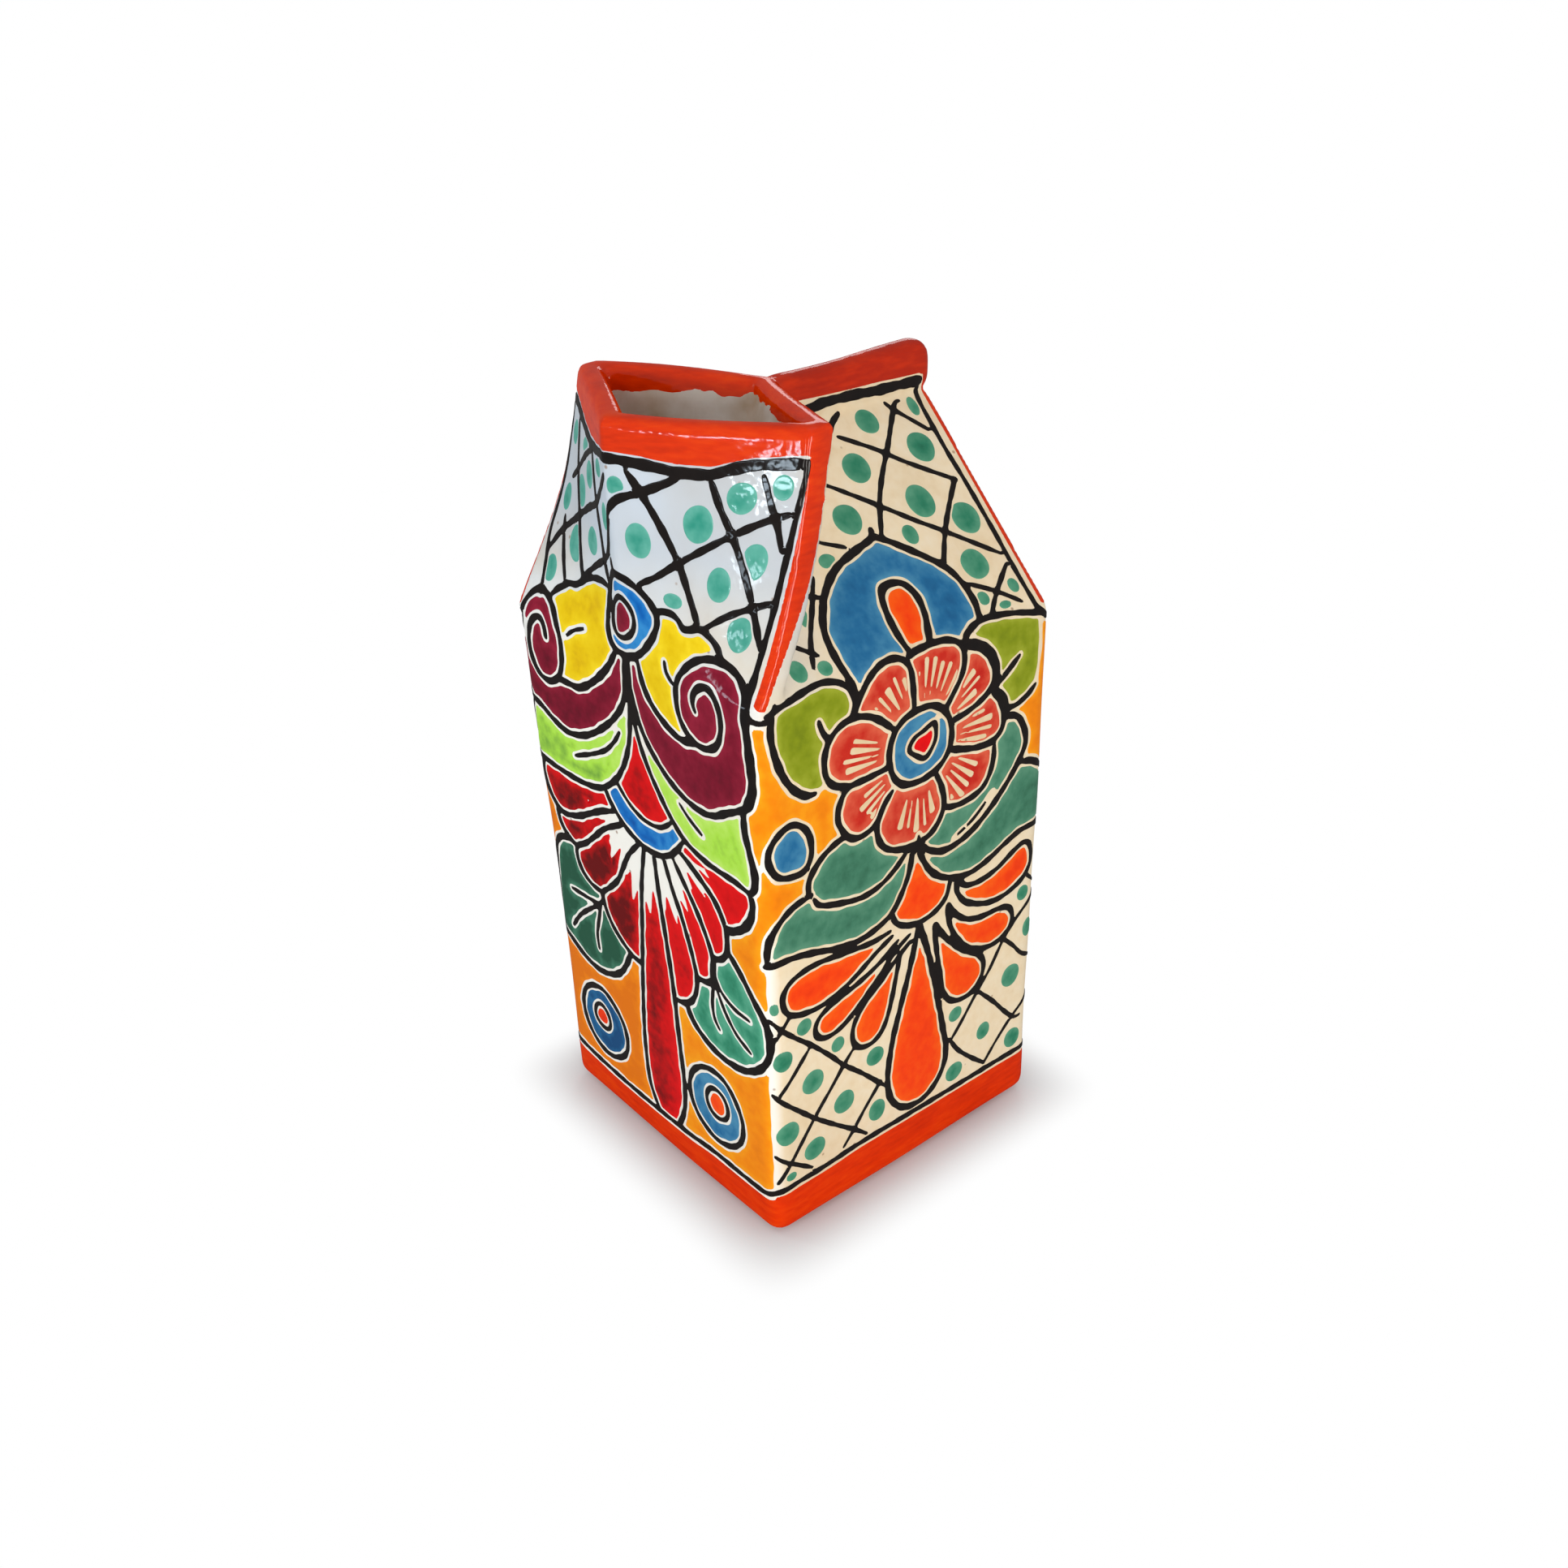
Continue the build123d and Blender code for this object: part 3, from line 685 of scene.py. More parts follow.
daisy_drawing = [
    # daisy: ring and eye
    (2.1, [(-9.6, 139), (-8.3, 144.5), (-4.5, 148.2), (1, 149.4), (6.5, 148.8), (11, 145.6), (13.4, 140.5),
        (13.1, 134.8), (10, 130.6), (5, 128.6), (0.3, 128.3), (-4.5, 129.5), (-8, 133), (-9.6, 139)]),
    (1.6, [(-2.4, 138.8), (-0.6, 141.6), (2.9, 142.7), (6.7, 143.8), (7.6, 140.6), (6.9, 137.6),
        (3.9, 134.5), (0.8, 135.9), (-2.4, 138.8)]),
    # daisy: petals
    (2.0, [(-20.9, 156), (-17.1, 162.4), (-11.7, 165.7), (-6.3, 166.1), (-3.4, 164.2), (-1.7, 160.4),
        (-0.9, 154.2), (-0.6, 149.4)]),
    (2.0, [(-3.4, 164.4), (-0.2, 165.8), (6, 166.3), (12.2, 165.8), (16.2, 163.4), (17.8, 158.8),
        (16.8, 154.2), (13.7, 149.8), (11, 146.4)]),
    (2.0, [(17.2, 162.4), (22.9, 160.2), (27.4, 156.5), (29.5, 151.9), (28.9, 148), (26, 145.2),
        (19.8, 142.9), (13.2, 142)]),
    (2.1, [(28.6, 146.4), (32.2, 141.9), (34, 137.3), (33.1, 132.9), (29.1, 130.6), (22.9, 130.9),
        (17.5, 132.3), (12.4, 134)]),
    (2.0, [(30.4, 130.8), (30.4, 125.4), (28.7, 120.2), (25.2, 116.9), (19.1, 115.6), (14.2, 115.9),
        (11.2, 117)]),
    (2.0, [(-8.2, 129), (-11.4, 125.6), (-13.6, 120.8), (-13.2, 116.2), (-10.2, 112.2), (-4.8, 109.9),
        (0.6, 109.5), (6, 110.4), (9.8, 113.8), (11.3, 118.5), (10.1, 123.8), (7.4, 129.2)]),
    (1.3, [(1.8, 109.8), (1.7, 111.8)]),
    (2.0, [(-9.4, 136.4), (-17.1, 135.9), (-24, 135.4), (-27, 131.4), (-27.5, 127.3), (-25.9, 123.6),
        (-23.8, 121), (-20.9, 119.6), (-17.1, 119.9), (-13.8, 121.6), (-11.4, 125.6)]),
    (2.0, [(-22, 135.6), (-27.8, 137.3), (-30.9, 140.4), (-31.7, 145), (-30.5, 149.6), (-27.1, 153),
        (-22.5, 154.3), (-17.8, 153.5), (-13.2, 151.1), (-7.6, 146.4)]),
    # olive leaves
    (2.2, [(-47.6, 163.4), (-48.2, 158.1), (-47.1, 151.9), (-44.8, 145.8), (-41.7, 141.2), (-37.8, 138.2),
        (-34.8, 137.8)]),
    (1.9, [(-49.4, 163.4), (-45.5, 164.4), (-40.9, 165.3), (-35.5, 166.4), (-30.2, 166.8), (-25.5, 165.3),
        (-22.4, 161.9), (-21, 157.8), (-22.6, 154.4)]),
    (1.9, [(-33.1, 156.9), (-31.8, 153.5), (-29.8, 150.6)]),
    (1.9, [(16.8, 162.6), (19, 165), (22.9, 166.9), (27.5, 167.7), (34.5, 167), (40.6, 165.6),
        (45.2, 164.2), (49.5, 162.4)]),
    (2.2, [(16.4, 162.8), (22, 162), (27, 158.6), (30.4, 153.4), (30.6, 148), (29.2, 146.2)]),
    (1.9, [(33.6, 139.4), (38.3, 138.7), (43.2, 140.4), (46.4, 142.8)]),
    (2.0, [(29.8, 146.4), (34.5, 149.8), (39.4, 153.4)]),
    (2.1, [(29.4, 146.2), (33.4, 143), (35, 138.8), (34, 136.6)]),
    # dark leaves left
    (2.1, [(-24.8, 121.8), (-29.4, 120.6), (-34, 117.9), (-37.4, 113.8), (-37.8, 110.4), (-37, 108.6)]),
    (1.9, [(-36, 107.2), (-34.2, 104.8), (-28.6, 102.8), (-20.2, 101), (-13.2, 101.7), (-7.1, 104.7),
        (-1.6, 109.4)]),
    (2.1, [(-36.8, 109), (-42.5, 108), (-47.1, 105.4), (-50.2, 101.4), (-51.5, 96.9), (-51.6, 92.6)]),
    (2.1, [(-52.4, 92.2), (-47.1, 92.9), (-41.7, 92.4), (-35.5, 90.9), (-28.6, 88.9), (-20.2, 87.8),
        (-13.2, 88.9), (-7.9, 91.5), (-4, 96.9), (-1.6, 102.3), (-0.3, 109.4)]),
    # dark leaves right
    (2.2, [(34, 137), (39.5, 135), (42.5, 130.4), (43.3, 125.8), (41, 121.2), (36, 115.4), (29.8, 110),
        (23.7, 106), (17.5, 103.7), (11.4, 103.2), (6, 105.4), (1.2, 109.4)]),
    (1.2, [(30.6, 114.8), (22.9, 108.9), (15.2, 105.6)]),
    (2.1, [(41.2, 120.4), (46, 119.2), (49.6, 116.2), (51.8, 113)]),
    (2.1, [(1, 109.4), (2.9, 104.6), (6, 99.2), (10.6, 95.1), (16.8, 92.4), (22.9, 91.7), (29.8, 93.2),
        (36.8, 95.9), (43.7, 97.8), (51.4, 97.4), (54, 97)]),
    # sector and tear drops
    (2.0, [(-8.6, 91.4), (-6.3, 87), (-1.7, 84.3), (3.7, 83.5), (9.1, 84.7), (12.9, 87.7), (14.4, 92.8)]),
    (1.9, [(-8.6, 85.4), (-15.5, 84.9), (-24.8, 86), (-34, 87.2), (-40.2, 87), (-45.2, 85.4), (-47.5, 82.3),
        (-47.4, 78.5), (-45.6, 75.6), (-41.7, 73.7), (-35.5, 72.9), (-28.6, 73.9), (-20.9, 77), (-14, 80.8),
        (-7.9, 83.5)]),
    (1.9, [(-5.5, 81.2), (-10.9, 77.7), (-17.1, 75), (-24.8, 72.8), (-31.7, 71.1), (-35.5, 68.8),
        (-36.6, 65.4), (-34.8, 62.4), (-30.9, 61.3), (-25.5, 62.8), (-19.4, 67), (-13.2, 71.9),
        (-7.1, 77.6), (-0.9, 81.2)]),
    (1.9, [(-0.9, 78.6), (-6.6, 74.8), (-13, 69.6), (-19.4, 64.8), (-22.6, 59.6), (-22.6, 54.8),
        (-20.1, 51.7), (-15.9, 50.9), (-12.1, 52.9), (-9.5, 57.3), (-7.6, 63.5), (-6, 70.4), (-4.8, 75.2)]),
    (2.3, [(2.3, 83), (1.2, 78), (-0.9, 69.6), (-4, 59.6), (-7.1, 49.6), (-9, 40.4), (-9.4, 32.7),
        (-7.9, 26.5), (-4, 21.7), (1.4, 19.8), (6.8, 20.6), (11.4, 24.2), (14.1, 29.6), (14.1, 35.8),
        (12.5, 43.5), (10.6, 52.7), (8.7, 61.9), (6.4, 71.2), (4.1, 78.4), (2.7, 83)]),
    (2.0, [(8.6, 80), (9.6, 71.2), (11, 62.7), (12.3, 56), (14.8, 51.5), (19.1, 49.2), (24.5, 49.4),
        (28.3, 52.7), (29.4, 57.3), (27.5, 61.2), (22.2, 65), (16.8, 69.6), (12.2, 75), (8.6, 80)]),
    (2.0, [(13.7, 84.4), (14.8, 77.3), (18.3, 70.6), (22.9, 66), (29.1, 63), (35.2, 62.8), (39.8, 65),
        (41.3, 68.8), (39.6, 72.6), (35.2, 74.2), (27.5, 74.6), (21.4, 76.5), (16.8, 80.2), (13.7, 84.4)]),
    (2.0, [(16.6, 92.2), (17.2, 87.6), (19.9, 83.4), (23.7, 80.8), (29.1, 78.6), (34.5, 77.8), (39.8, 78.5),
        (45.2, 80.8), (48.2, 85.4), (47.7, 90.6), (44.8, 93), (39.8, 91.5), (33.7, 88.6), (26.8, 87.3),
        (20.6, 88.2), (17.4, 92)]),
    # blue drop by the corner
    (2.0, [(-43.4, 131.8), (-39.6, 130.2), (-37.1, 126.5), (-36.6, 121), (-38.8, 117.2), (-43.2, 116.9),
        (-47.6, 118.5), (-50, 122.3), (-50, 126.4), (-47.6, 130), (-43.4, 131.8)]),
]
roof_drawing = [
    (2.0, [(-5.5, 236.4), (3, 236.1), (8, 236.4), (12.2, 236.8), (22.9, 236.9), (30.6, 236.7),
        (48.3, 236.9)]),
    (1.7, [(46.8, 237), (46, 230), (45.8, 216.9), (46.4, 205.4), (46.6, 190), (46.4, 178.5), (46.6, 169),
        (47, 165.4), (49.4, 162.4)]),
]
spout_lattice = [
    (2.2, [(-0.2, 203.5), (2.9, 206.6), (9.8, 209.3), (18.3, 213.2)]),
    (1.8, [(7.2, 185.5), (12.9, 188.5), (19.1, 192.8), (26.8, 197.8), (32.9, 201.6), (39.8, 205.5),
        (46, 208.2)]),
    (1.7, [(28.3, 178.6), (34.5, 182.8), (39.8, 185.5), (46, 188.2)]),
    (2.1, [(5.6, 213.9), (8.7, 209.7), (12.9, 203.5), (16.8, 197.4), (19.8, 192.4), (22.9, 185.8),
        (26.4, 178.9)]),
    (1.9, [(26.8, 213.2), (29.5, 207.4), (32.9, 202), (36.4, 195.8), (41.4, 186.6), (46, 178.2)]),
    (1.7, [(38.7, 216.2), (41.4, 209.7), (43.7, 205.1), (45.8, 199.7)]),
    (2.1, [(-47.5, 180.8), (-40.2, 186.6), (-30.9, 192.4), (-21.7, 197.4), (-13.2, 201.2), (-6.3, 207),
        (-0.9, 212)]),
    (1.9, [(-40, 200.5), (-34.8, 203.9), (-27.1, 209.3), (-16.3, 214.3)]),
    (1.9, [(-23.2, 178.9), (-15.5, 183.9), (-8.6, 187.8), (-4, 192), (-0.2, 203.5)]),
    (1.9, [(-40.2, 190.5), (-37.5, 185.1), (-34.4, 175.5)]),
    (2.0, [(-16.3, 214.3), (-13.2, 203.5), (-9.8, 195.1), (-7.9, 187.4), (-6.2, 182)]),
    (1.9, [(-37.5, 216), (-34.5, 204), (-28.6, 193), (-23, 179)]),
]
roof_lattice = [
    (1.6, [(12.9, 227.7), (22.9, 221.2), (30.6, 215.4), (43.7, 206.9)]),
    (1.6, [(2.9, 214.2), (13.7, 206.2), (22.9, 199.2), (30.6, 193.8), (44.8, 183.1)]),
    (1.5, [(-9.4, 200.8), (-2.8, 197.7)]),
    (1.5, [(27.9, 178.5), (36, 173.8), (42.9, 168.5)]),
    (1.6, [(34.1, 233.8), (36.4, 230.8), (43.7, 223.1)]),
    (1.5, [(-33.6, 178.5), (-27.1, 173.5)]),
    (1.6, [(9, 196.8), (14.5, 206.5), (19.8, 213.5), (27.5, 221.9), (32.9, 228.1), (37.5, 233.1),
        (39.5, 233.5)]),
    (1.6, [(23.7, 184.6), (30.2, 193.5), (36.8, 200.8), (43.7, 207.7)]),
    (1.5, [(30.6, 168.1), (36.8, 173.8), (44.8, 180)]),
    (2.0, [(4, 223), (12.9, 231.2), (17.5, 234.2)]),
    (1.5, [(-30.9, 169.6), (-27.1, 177.7), (-20.9, 186.9), (-17, 193)]),
    (1.3, [(-21.6, 188.7), (-17.8, 187.3)]),
    (1.6, [(-16.5, 201), (-8, 210), (-1.5, 217), (4, 223)]),
    (1.5, [(-9.5, 224), (-4, 219), (2.9, 214.2)]),
    (1.5, [(-17, 207), (-9.4, 200.8)]),
    (1.5, [(-6.5, 233), (1, 228), (7.5, 226.4)]),
    (1.4, [(-28, 192), (-22, 189)]),
]
gusset_lattice = [
    (1.6, [(-40, 166), (-30, 176), (-18, 189), (-6, 200), (4, 209)]),
    (1.5, [(-14, 165), (-3, 177), (8, 189), (16, 196)]),
    (1.5, [(14, 165), (22, 174), (30, 181)]),
    (1.6, [(41, 166), (30, 177), (19, 188), (8, 200), (-3, 210)]),
    (1.5, [(15, 165), (3, 177), (-8, 190), (-15, 197)]),
    (1.5, [(-13, 165), (-22, 175), (-29, 182)]),
]
panel_lattice = [
    (1.5, [(-51.2, 18.8), (-46.3, 25), (-37.5, 36.2), (-30.9, 43.5), (-26.3, 48.8), (-22.4, 52.8)]),
    (1.5, [(-49.8, 49.6), (-44.8, 54.6), (-38.6, 61.2)]),
    (1.5, [(-26.7, 19.2), (-22.8, 23.5), (-17.8, 29.6), (-12.1, 35.8)]),
    (1.5, [(16.2, 35.6), (20.6, 40.4), (26.8, 48.1), (32.2, 54.2), (37.5, 61.9), (42.9, 67.3), (50.4, 74)]),
    (1.4, [(31.4, 19.2), (36.8, 25), (43.7, 31.2), (50.4, 37)]),
    (1.4, [(-50.5, 68.1), (-48.2, 71.5), (-45, 75.4)]),
    (1.5, [(-51.6, 75.4), (-48.2, 71.5), (-43.2, 66.5), (-37.8, 61.5), (-30.9, 54.2), (-26.3, 48.8),
        (-19.4, 42.3), (-10.9, 33.5)]),
    (1.5, [(-52, 50.8), (-49.4, 48.1), (-43.2, 41.9), (-37.5, 36.2), (-30.9, 30.4), (-22.8, 23.8),
        (-17.5, 19.2)]),
    (1.4, [(-51.6, 29), (-50.2, 27.7), (-45.5, 24.2), (-38.2, 18.5)]),
    (1.5, [(26.8, 49), (34.5, 41.2), (39.8, 35), (44.5, 30.4), (47.5, 30)]),
    (1.5, [(15.6, 36.6), (19.8, 30.4), (26, 24.2), (31.8, 19.2)]),
    (1.4, [(37.5, 62.7), (42.2, 58.1), (46.8, 53.1), (51.2, 49.6)]),
    (1.4, [(45.8, 81.7), (50.4, 76.4)]),
]


def sample(sheet, s, v):
    """Value of a sheet between its grid points."""
    column = np.clip((s - s_start) / grid, 0, columns - 1.001)
    row = np.clip(v / grid, 0, rows - 1.001)
    c, r = column.astype(int), row.astype(int)
    right, up = column - c, row - r
    return (
        (sheet[r, c] * (1 - right) + sheet[r, c + 1] * right) * (1 - up)
        + (sheet[r + 1, c] * (1 - right) + sheet[r + 1, c + 1] * right) * up
    )


def contours(sheet, level):
    """Closed loops (s, v) along which a sheet has the given value."""
    above = sheet > level
    a, b, c, d = above[:-1, :-1], above[:-1, 1:], above[1:, 1:], above[1:, :-1]
    r, q = np.nonzero((a != b) | (b != c) | (c != d))
    a, b, c, d = a[r, q], b[r, q], c[r, q], d[r, q]
    middle = (sheet[r, q] + sheet[r, q + 1] + sheet[r + 1, q + 1] + sheet[r + 1, q]) / 4 > level
    # A cell's four sides in turn: the lower, the right, the upper and the left.
    crossed = (a != b, b != c, c != d, a != d)
    key = (r * columns + q) * 2
    keys = (key, key + 3, key + 2 * columns, key + 1)
    saddle = (a == c) & (b == d) & (a != b)
    links = {}

    def join(mask, i, j):
        for one, two in zip(keys[i][mask].tolist(), keys[j][mask].tolist()):
            links.setdefault(one, []).append(two)
            links.setdefault(two, []).append(one)

    for i, j in combinations(range(4), 2):
        join(crossed[i] & crossed[j] & ~saddle, i, j)
    for i, j in ((0, 1), (2, 3)):
        join(saddle & (middle == a), i, j)
    for i, j in ((0, 3), (1, 2)):
        join(saddle & (middle != a), i, j)

    loops = []
    while links:
        start = next(iter(links))
        loop, last, here = [start], start, links[start][0]
        while here != start:
            loop.append(here)
            one, two = links[here]
            last, here = here, (two if one == last else one)
        for key in loop:
            del links[key]
        keys = np.array(loop)
        upward = keys % 2 == 1
        r, q = keys // 2 // columns, keys // 2 % columns
        here_value = sheet[r, q]
        above_value = sheet[np.minimum(r + 1, rows - 1), q]
        beside_value = sheet[r, np.minimum(q + 1, columns - 1)]
        next_value = np.where(upward, above_value, beside_value)
        part = (level - here_value) / (next_value - here_value)
        loops.append(np.stack([s_start + (q + part * ~upward) * grid, (r + part * upward) * grid], 1))
    return loops


def even_out(loop, step):
    """A loop smoothed a little, with its points a step apart."""
    for _ in range(2):
        loop = 0.5 * loop + 0.25 * np.roll(loop, 1, 0) + 0.25 * np.roll(loop, -1, 0)
    ring = np.vstack([loop, loop[:1]])
    run = np.concatenate([[0], np.cumsum(np.hypot(*np.diff(ring, axis=0).T))])
    if run[-1] < 2.0:
        return None
    spots = np.linspace(0, run[-1], max(int(run[-1] / step), 8), endpoint=False)
    return np.stack([np.interp(spots, run, ring[:, 0]), np.interp(spots, run, ring[:, 1])], 1)


def close_skin(name, top, under, triangles, normals, paint, tint=None):
    """A thin closed layer between its top points and the points under them, in mm."""
    edges = np.concatenate([triangles[:, [0, 1]], triangles[:, [1, 2]], triangles[:, [2, 0]]])
    pairs = set(map(tuple, edges.tolist()))
    rim_edges = [(a, b) for a, b in pairs if (b, a) not in pairs]
    count = len(top)
    faces = triangles.tolist() + (triangles[:, ::-1] + count).tolist()
    faces += [(b, a, a + count, b + count) for a, b in sorted(rim_edges)]
    mesh = bpy.data.meshes.new(name)
    mesh.from_pydata((np.vstack([top, under]) * mm).tolist(), [], faces)
    mesh.polygons.foreach_set("use_smooth", [True] * len(mesh.polygons))
    mesh.materials.append(paint)
    if tint is not None:
        thinness = mesh.attributes.new("tint", "FLOAT", "POINT")
        thinness.data.foreach_set("value", np.tile(tint, 2).astype(np.float32))
    mesh.normals_split_custom_set_from_vertices(np.vstack([normals, -normals]).tolist())
    piece = bpy.data.objects.new(name, mesh)
    scene.collection.objects.link(piece)
    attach(piece, "root")


sunk, bedded = 0.06, 0.30       # how far a glaze's edge and its underside lie in the cream glaze
edge_tilt = math.radians(38)    # a pool's edge leans over by this much
thin_edge = 0.9                 # and its colour is this much thinner there
fine, coarse = 1.1, 2.8         # spacing of a skin's points on bends and on flat clay
near_corner, near_fold, near_prow = 3, 6, 4


def pour(name, paint, depth, thick=0.15, rim=0.45, step=0.8, tint=None):
    """A raised pool of glaze wherever its depth, in mm in from its edge, is above zero."""
    depth = np.minimum(depth, untouched)
    depth[0], depth[-1], depth[:, 0], depth[:, -1] = -1, -1, -1, -1
    points, bonds = [np.empty((0, 2))], []
    count = edge_count = 0
    for level in (0, rim):
        for loop in contours(depth, level):
            loop = even_out(loop, step)
            if loop is not None:
                bonds += [(count + i, count + (i + 1) % len(loop)) for i in range(len(loop))]
                points.append(loop)
                count += len(loop)
        if level == 0:
            edge_count = count
    for spacing in (fine, coarse):
        round_steps = np.arange(s_start, -s_start + side_width, spacing)
        s, v = np.meshgrid(round_steps, np.arange(1, rows * grid, spacing))
        s = (s + 0.25 * spacing * (-1) ** np.arange(len(s))[:, None]).ravel()
        v = v.ravel()
        u = (s + side_width / 2) % side_width - side_width / 2
        bent = (np.abs(u) > half - corner - near_corner) | (np.abs(v - fold) < near_fold)
        bent |= (v > fold) & (np.abs(s) < near_prow)
        inner = sample(depth, s, v) > rim + 0.35 * spacing
        chosen = inner & (bent == (spacing == fine))
        points.append(np.stack([s[chosen], v[chosen]], 1))
    cloth = np.vstack(points)
    spots, _, faces, origin, _, _ = delaunay_2d_cdt([Vector(p) for p in cloth], bonds, [], 0, 1e-5)
    cloth = np.array([tuple(p) for p in spots])
    triangles = np.array(faces)
    centres = cloth[triangles].mean(1)
    triangles = triangles[sample(depth, *centres.T) > 0]
    places, facing = unfold(*cloth.T)
    hits, normals, found = press_on(places, facing)
    triangles = triangles[found[triangles].all(1)]
    kept, triangles = np.unique(triangles, return_inverse=True)
    triangles = triangles.reshape(-1, 3)
    on_edge = np.array([any(i < edge_count for i in ids) for ids in origin])[kept]
    cloth, hits, normals = cloth[kept], hits[kept], normals[kept]

    rise = ease(sample(depth, *cloth.T), 0, rim)
    rise[on_edge] = 0
    uphill = np.stack([sample(np.gradient(depth, grid, axis=i), *cloth.T) for i in (1, 0)], 1)
    uphill /= np.maximum(np.linalg.norm(uphill, axis=1), 0.3)[:, None]
    up = np.array([0, 0, 1.0]) - normals * normals[:, 2:]
    up /= np.maximum(np.linalg.norm(up, axis=1), 0.01)[:, None]
    round_way = np.cross(up, normals)
    downhill = -(round_way * uphill[:, :1] + up * uphill[:, 1:])
    tilt = (edge_tilt * (1 - rise))[:, None]
    shine = normals * np.cos(tilt) + downhill * np.sin(tilt)
    shine /= np.linalg.norm(shine, axis=1)[:, None]
    top = hits + normals * (rise * (thick + sunk) - sunk)[:, None]
    thin = thin_edge * np.exp(-sample(depth, *cloth.T).clip(0) / 1.1)
    if tint is not None:
        thin = thin + sample(tint, *cloth.T)
    close_skin(name, top, hits - normals * bedded, triangles, shine, paint, thin)


def flood(cells, side, seeds, place=None):
    """The part of a sheet's open cells that is reached from a few places in it."""
    reached = np.zeros(cells.shape, bool)
    for seed in seeds:
        u, v = place(*seed) if place else seed
        start = (int(round(v / grid)), int(round((u + side * side_width - s_start) / grid)))
        if not cells[start]:
            continue
        reached[start] = True
        front = [start]
        while front:
            r, c = front.pop()
            for near in ((r + 1, c), (r - 1, c), (r, c + 1), (r, c - 1)):
                if 0 <= near[0] < rows and 0 <= near[1] < columns and cells[near] and not reached[near]:
                    reached[near] = True
                    front.append(near)
    return reached


foot_line = [
    (-154, 15.2), (-130, 16.4), (-100, 17), (-75, 16.6), (-60, 16), (-51, 15.4), (-38.6, 13.7), (-23, 12.8),
    (-8, 12.7), (11, 13), (23, 13.9), (38, 13.8), (47, 14.2), (52.9, 16), (60, 16.6), (68, 16.5),
    (84, 17.3), (103, 17.3), (126, 17.1), (154, 16.9), (185, 16.2), (215, 15.8), (240, 15.4), (258, 15.2),
]
# upright lines by the corners, where one side's design ends against the next
corner_lines = [
    (2.2, [(-154.6, 16), (-153.8, 60), (-154.4, 110), (-153.9, 163)]),
    (2.0, [(-60.2, 16), (-59.2, 40), (-60.4, 70), (-59.4, 100), (-61, 130), (-60, 161)]),
    (2.0, [(-61, 160.6), (-56, 162.6), (-50, 163.4)]),
    (2.0, [(158.4, 16.5), (157.8, 50), (158.9, 95), (158.0, 130), (158.6, 162)]),
    (2.2, [(256.6, 15.5), (256.0, 60), (256.8, 110), (256.2, 163)]),
    (2.0, [(152.0, 162.2), (155, 161.2), (158.5, 161.6)]),
    (2.0, [(158, 160.4), (180, 161.2), (206, 160.2), (232, 161.3), (257, 160.6)]),
]
# edges left bare, where a ground colour just stops
spout_edges = [
    (0.0, [(51.2, 12), (51.4, 30), (51.1, 50), (51.3, 61)]),
    (0.0, [(51.6, 72), (51.5, 82), (51.8, 93)]),
]
flower_edges = [
    (0.0, [(-34.8, 137.8), (-31, 139.2)]),
    (0.0, [(46.6, 165.2), (47.6, 158), (47.4, 150), (46.4, 142.8)]),
    (0.0, [(43.2, 126), (43.6, 120.4), (41, 120.4)]),
]
roof_end = [(0.0, [(-47.5, 164.6), (-24.4, 199.6), (-6.5, 236.8)])]


def on_spout(u, v):
    """The spout side's design, drawn in towards the left corner where it gets short of room."""
    reach = np.interp(v, (12, 60, 119, 137, 163, 171, 184), (50, 51.5, 56.5, 58.5, 62, 62, 51.5))
    return (-20 + (u + 20) * 31 / (reach - 20), v) if u < -20 else (u, v)


def ahead(u, v):
    """The flower side's design where it runs on round the corner."""
    return (min(48 + 1.9 * (u - 48), 55.2), v) if u > 48 and v < 163 else (u, v)


def behind(u, v):
    """The same design mirrored on the back and drawn a little narrower there."""
    narrow = 1 - float(ease(v, 148, 170))
    return -u * (1 - 0.1 * narrow) - 4 * narrow, v


def at_end(u, v):
    """The same design squeezed in under the gable."""
    return 0.94 * u + 0.8, 17 + (v - 17) * 0.965


roofs = ((FLOWER, ahead), (BACK, behind))
all_sides = roofs + ((GABLE, at_end),)
outlines, lattice, margins = (np.full((rows, columns), untouched) for _ in range(3))
draw(outlines, SPOUT, [(2.0, foot_line)] + corner_lines)
draw(outlines, SPOUT, spout_drawing + spout_top, on_spout)
draw(lattice, SPOUT, spout_lattice, on_spout)
draw(lattice, GABLE, gusset_lattice)
draw(margins, SPOUT, spout_edges)
draw(margins, FLOWER, roof_end)
draw(margins, BACK, roof_end, lambda u, v: (-u, v))
for side, place in all_sides:
    draw(outlines, side, daisy_drawing, place)
    draw(lattice, side, panel_lattice, place)
    draw(margins, side, flower_edges, place)
for side, place in roofs:
    draw(outlines, side, calla_drawing + roof_drawing, place)
    draw(lattice, side, roof_lattice, place)

# A glaze stops short of the black by a hair, and the lattice is drawn only on the cream cells.
rows_v = np.arange(rows)[:, None] * grid
columns_s = s_start + np.arange(columns)[None] * grid
wobble = 0.12 * np.sin(columns_s * 0.9 + rows_v * 0.35) + 0.10 * np.sin(rows_v * 0.8 - columns_s * 0.3)
hair = 0.62
edges = np.minimum(outlines, margins)
room = edges - (hair + wobble)
open_cells = room > 0

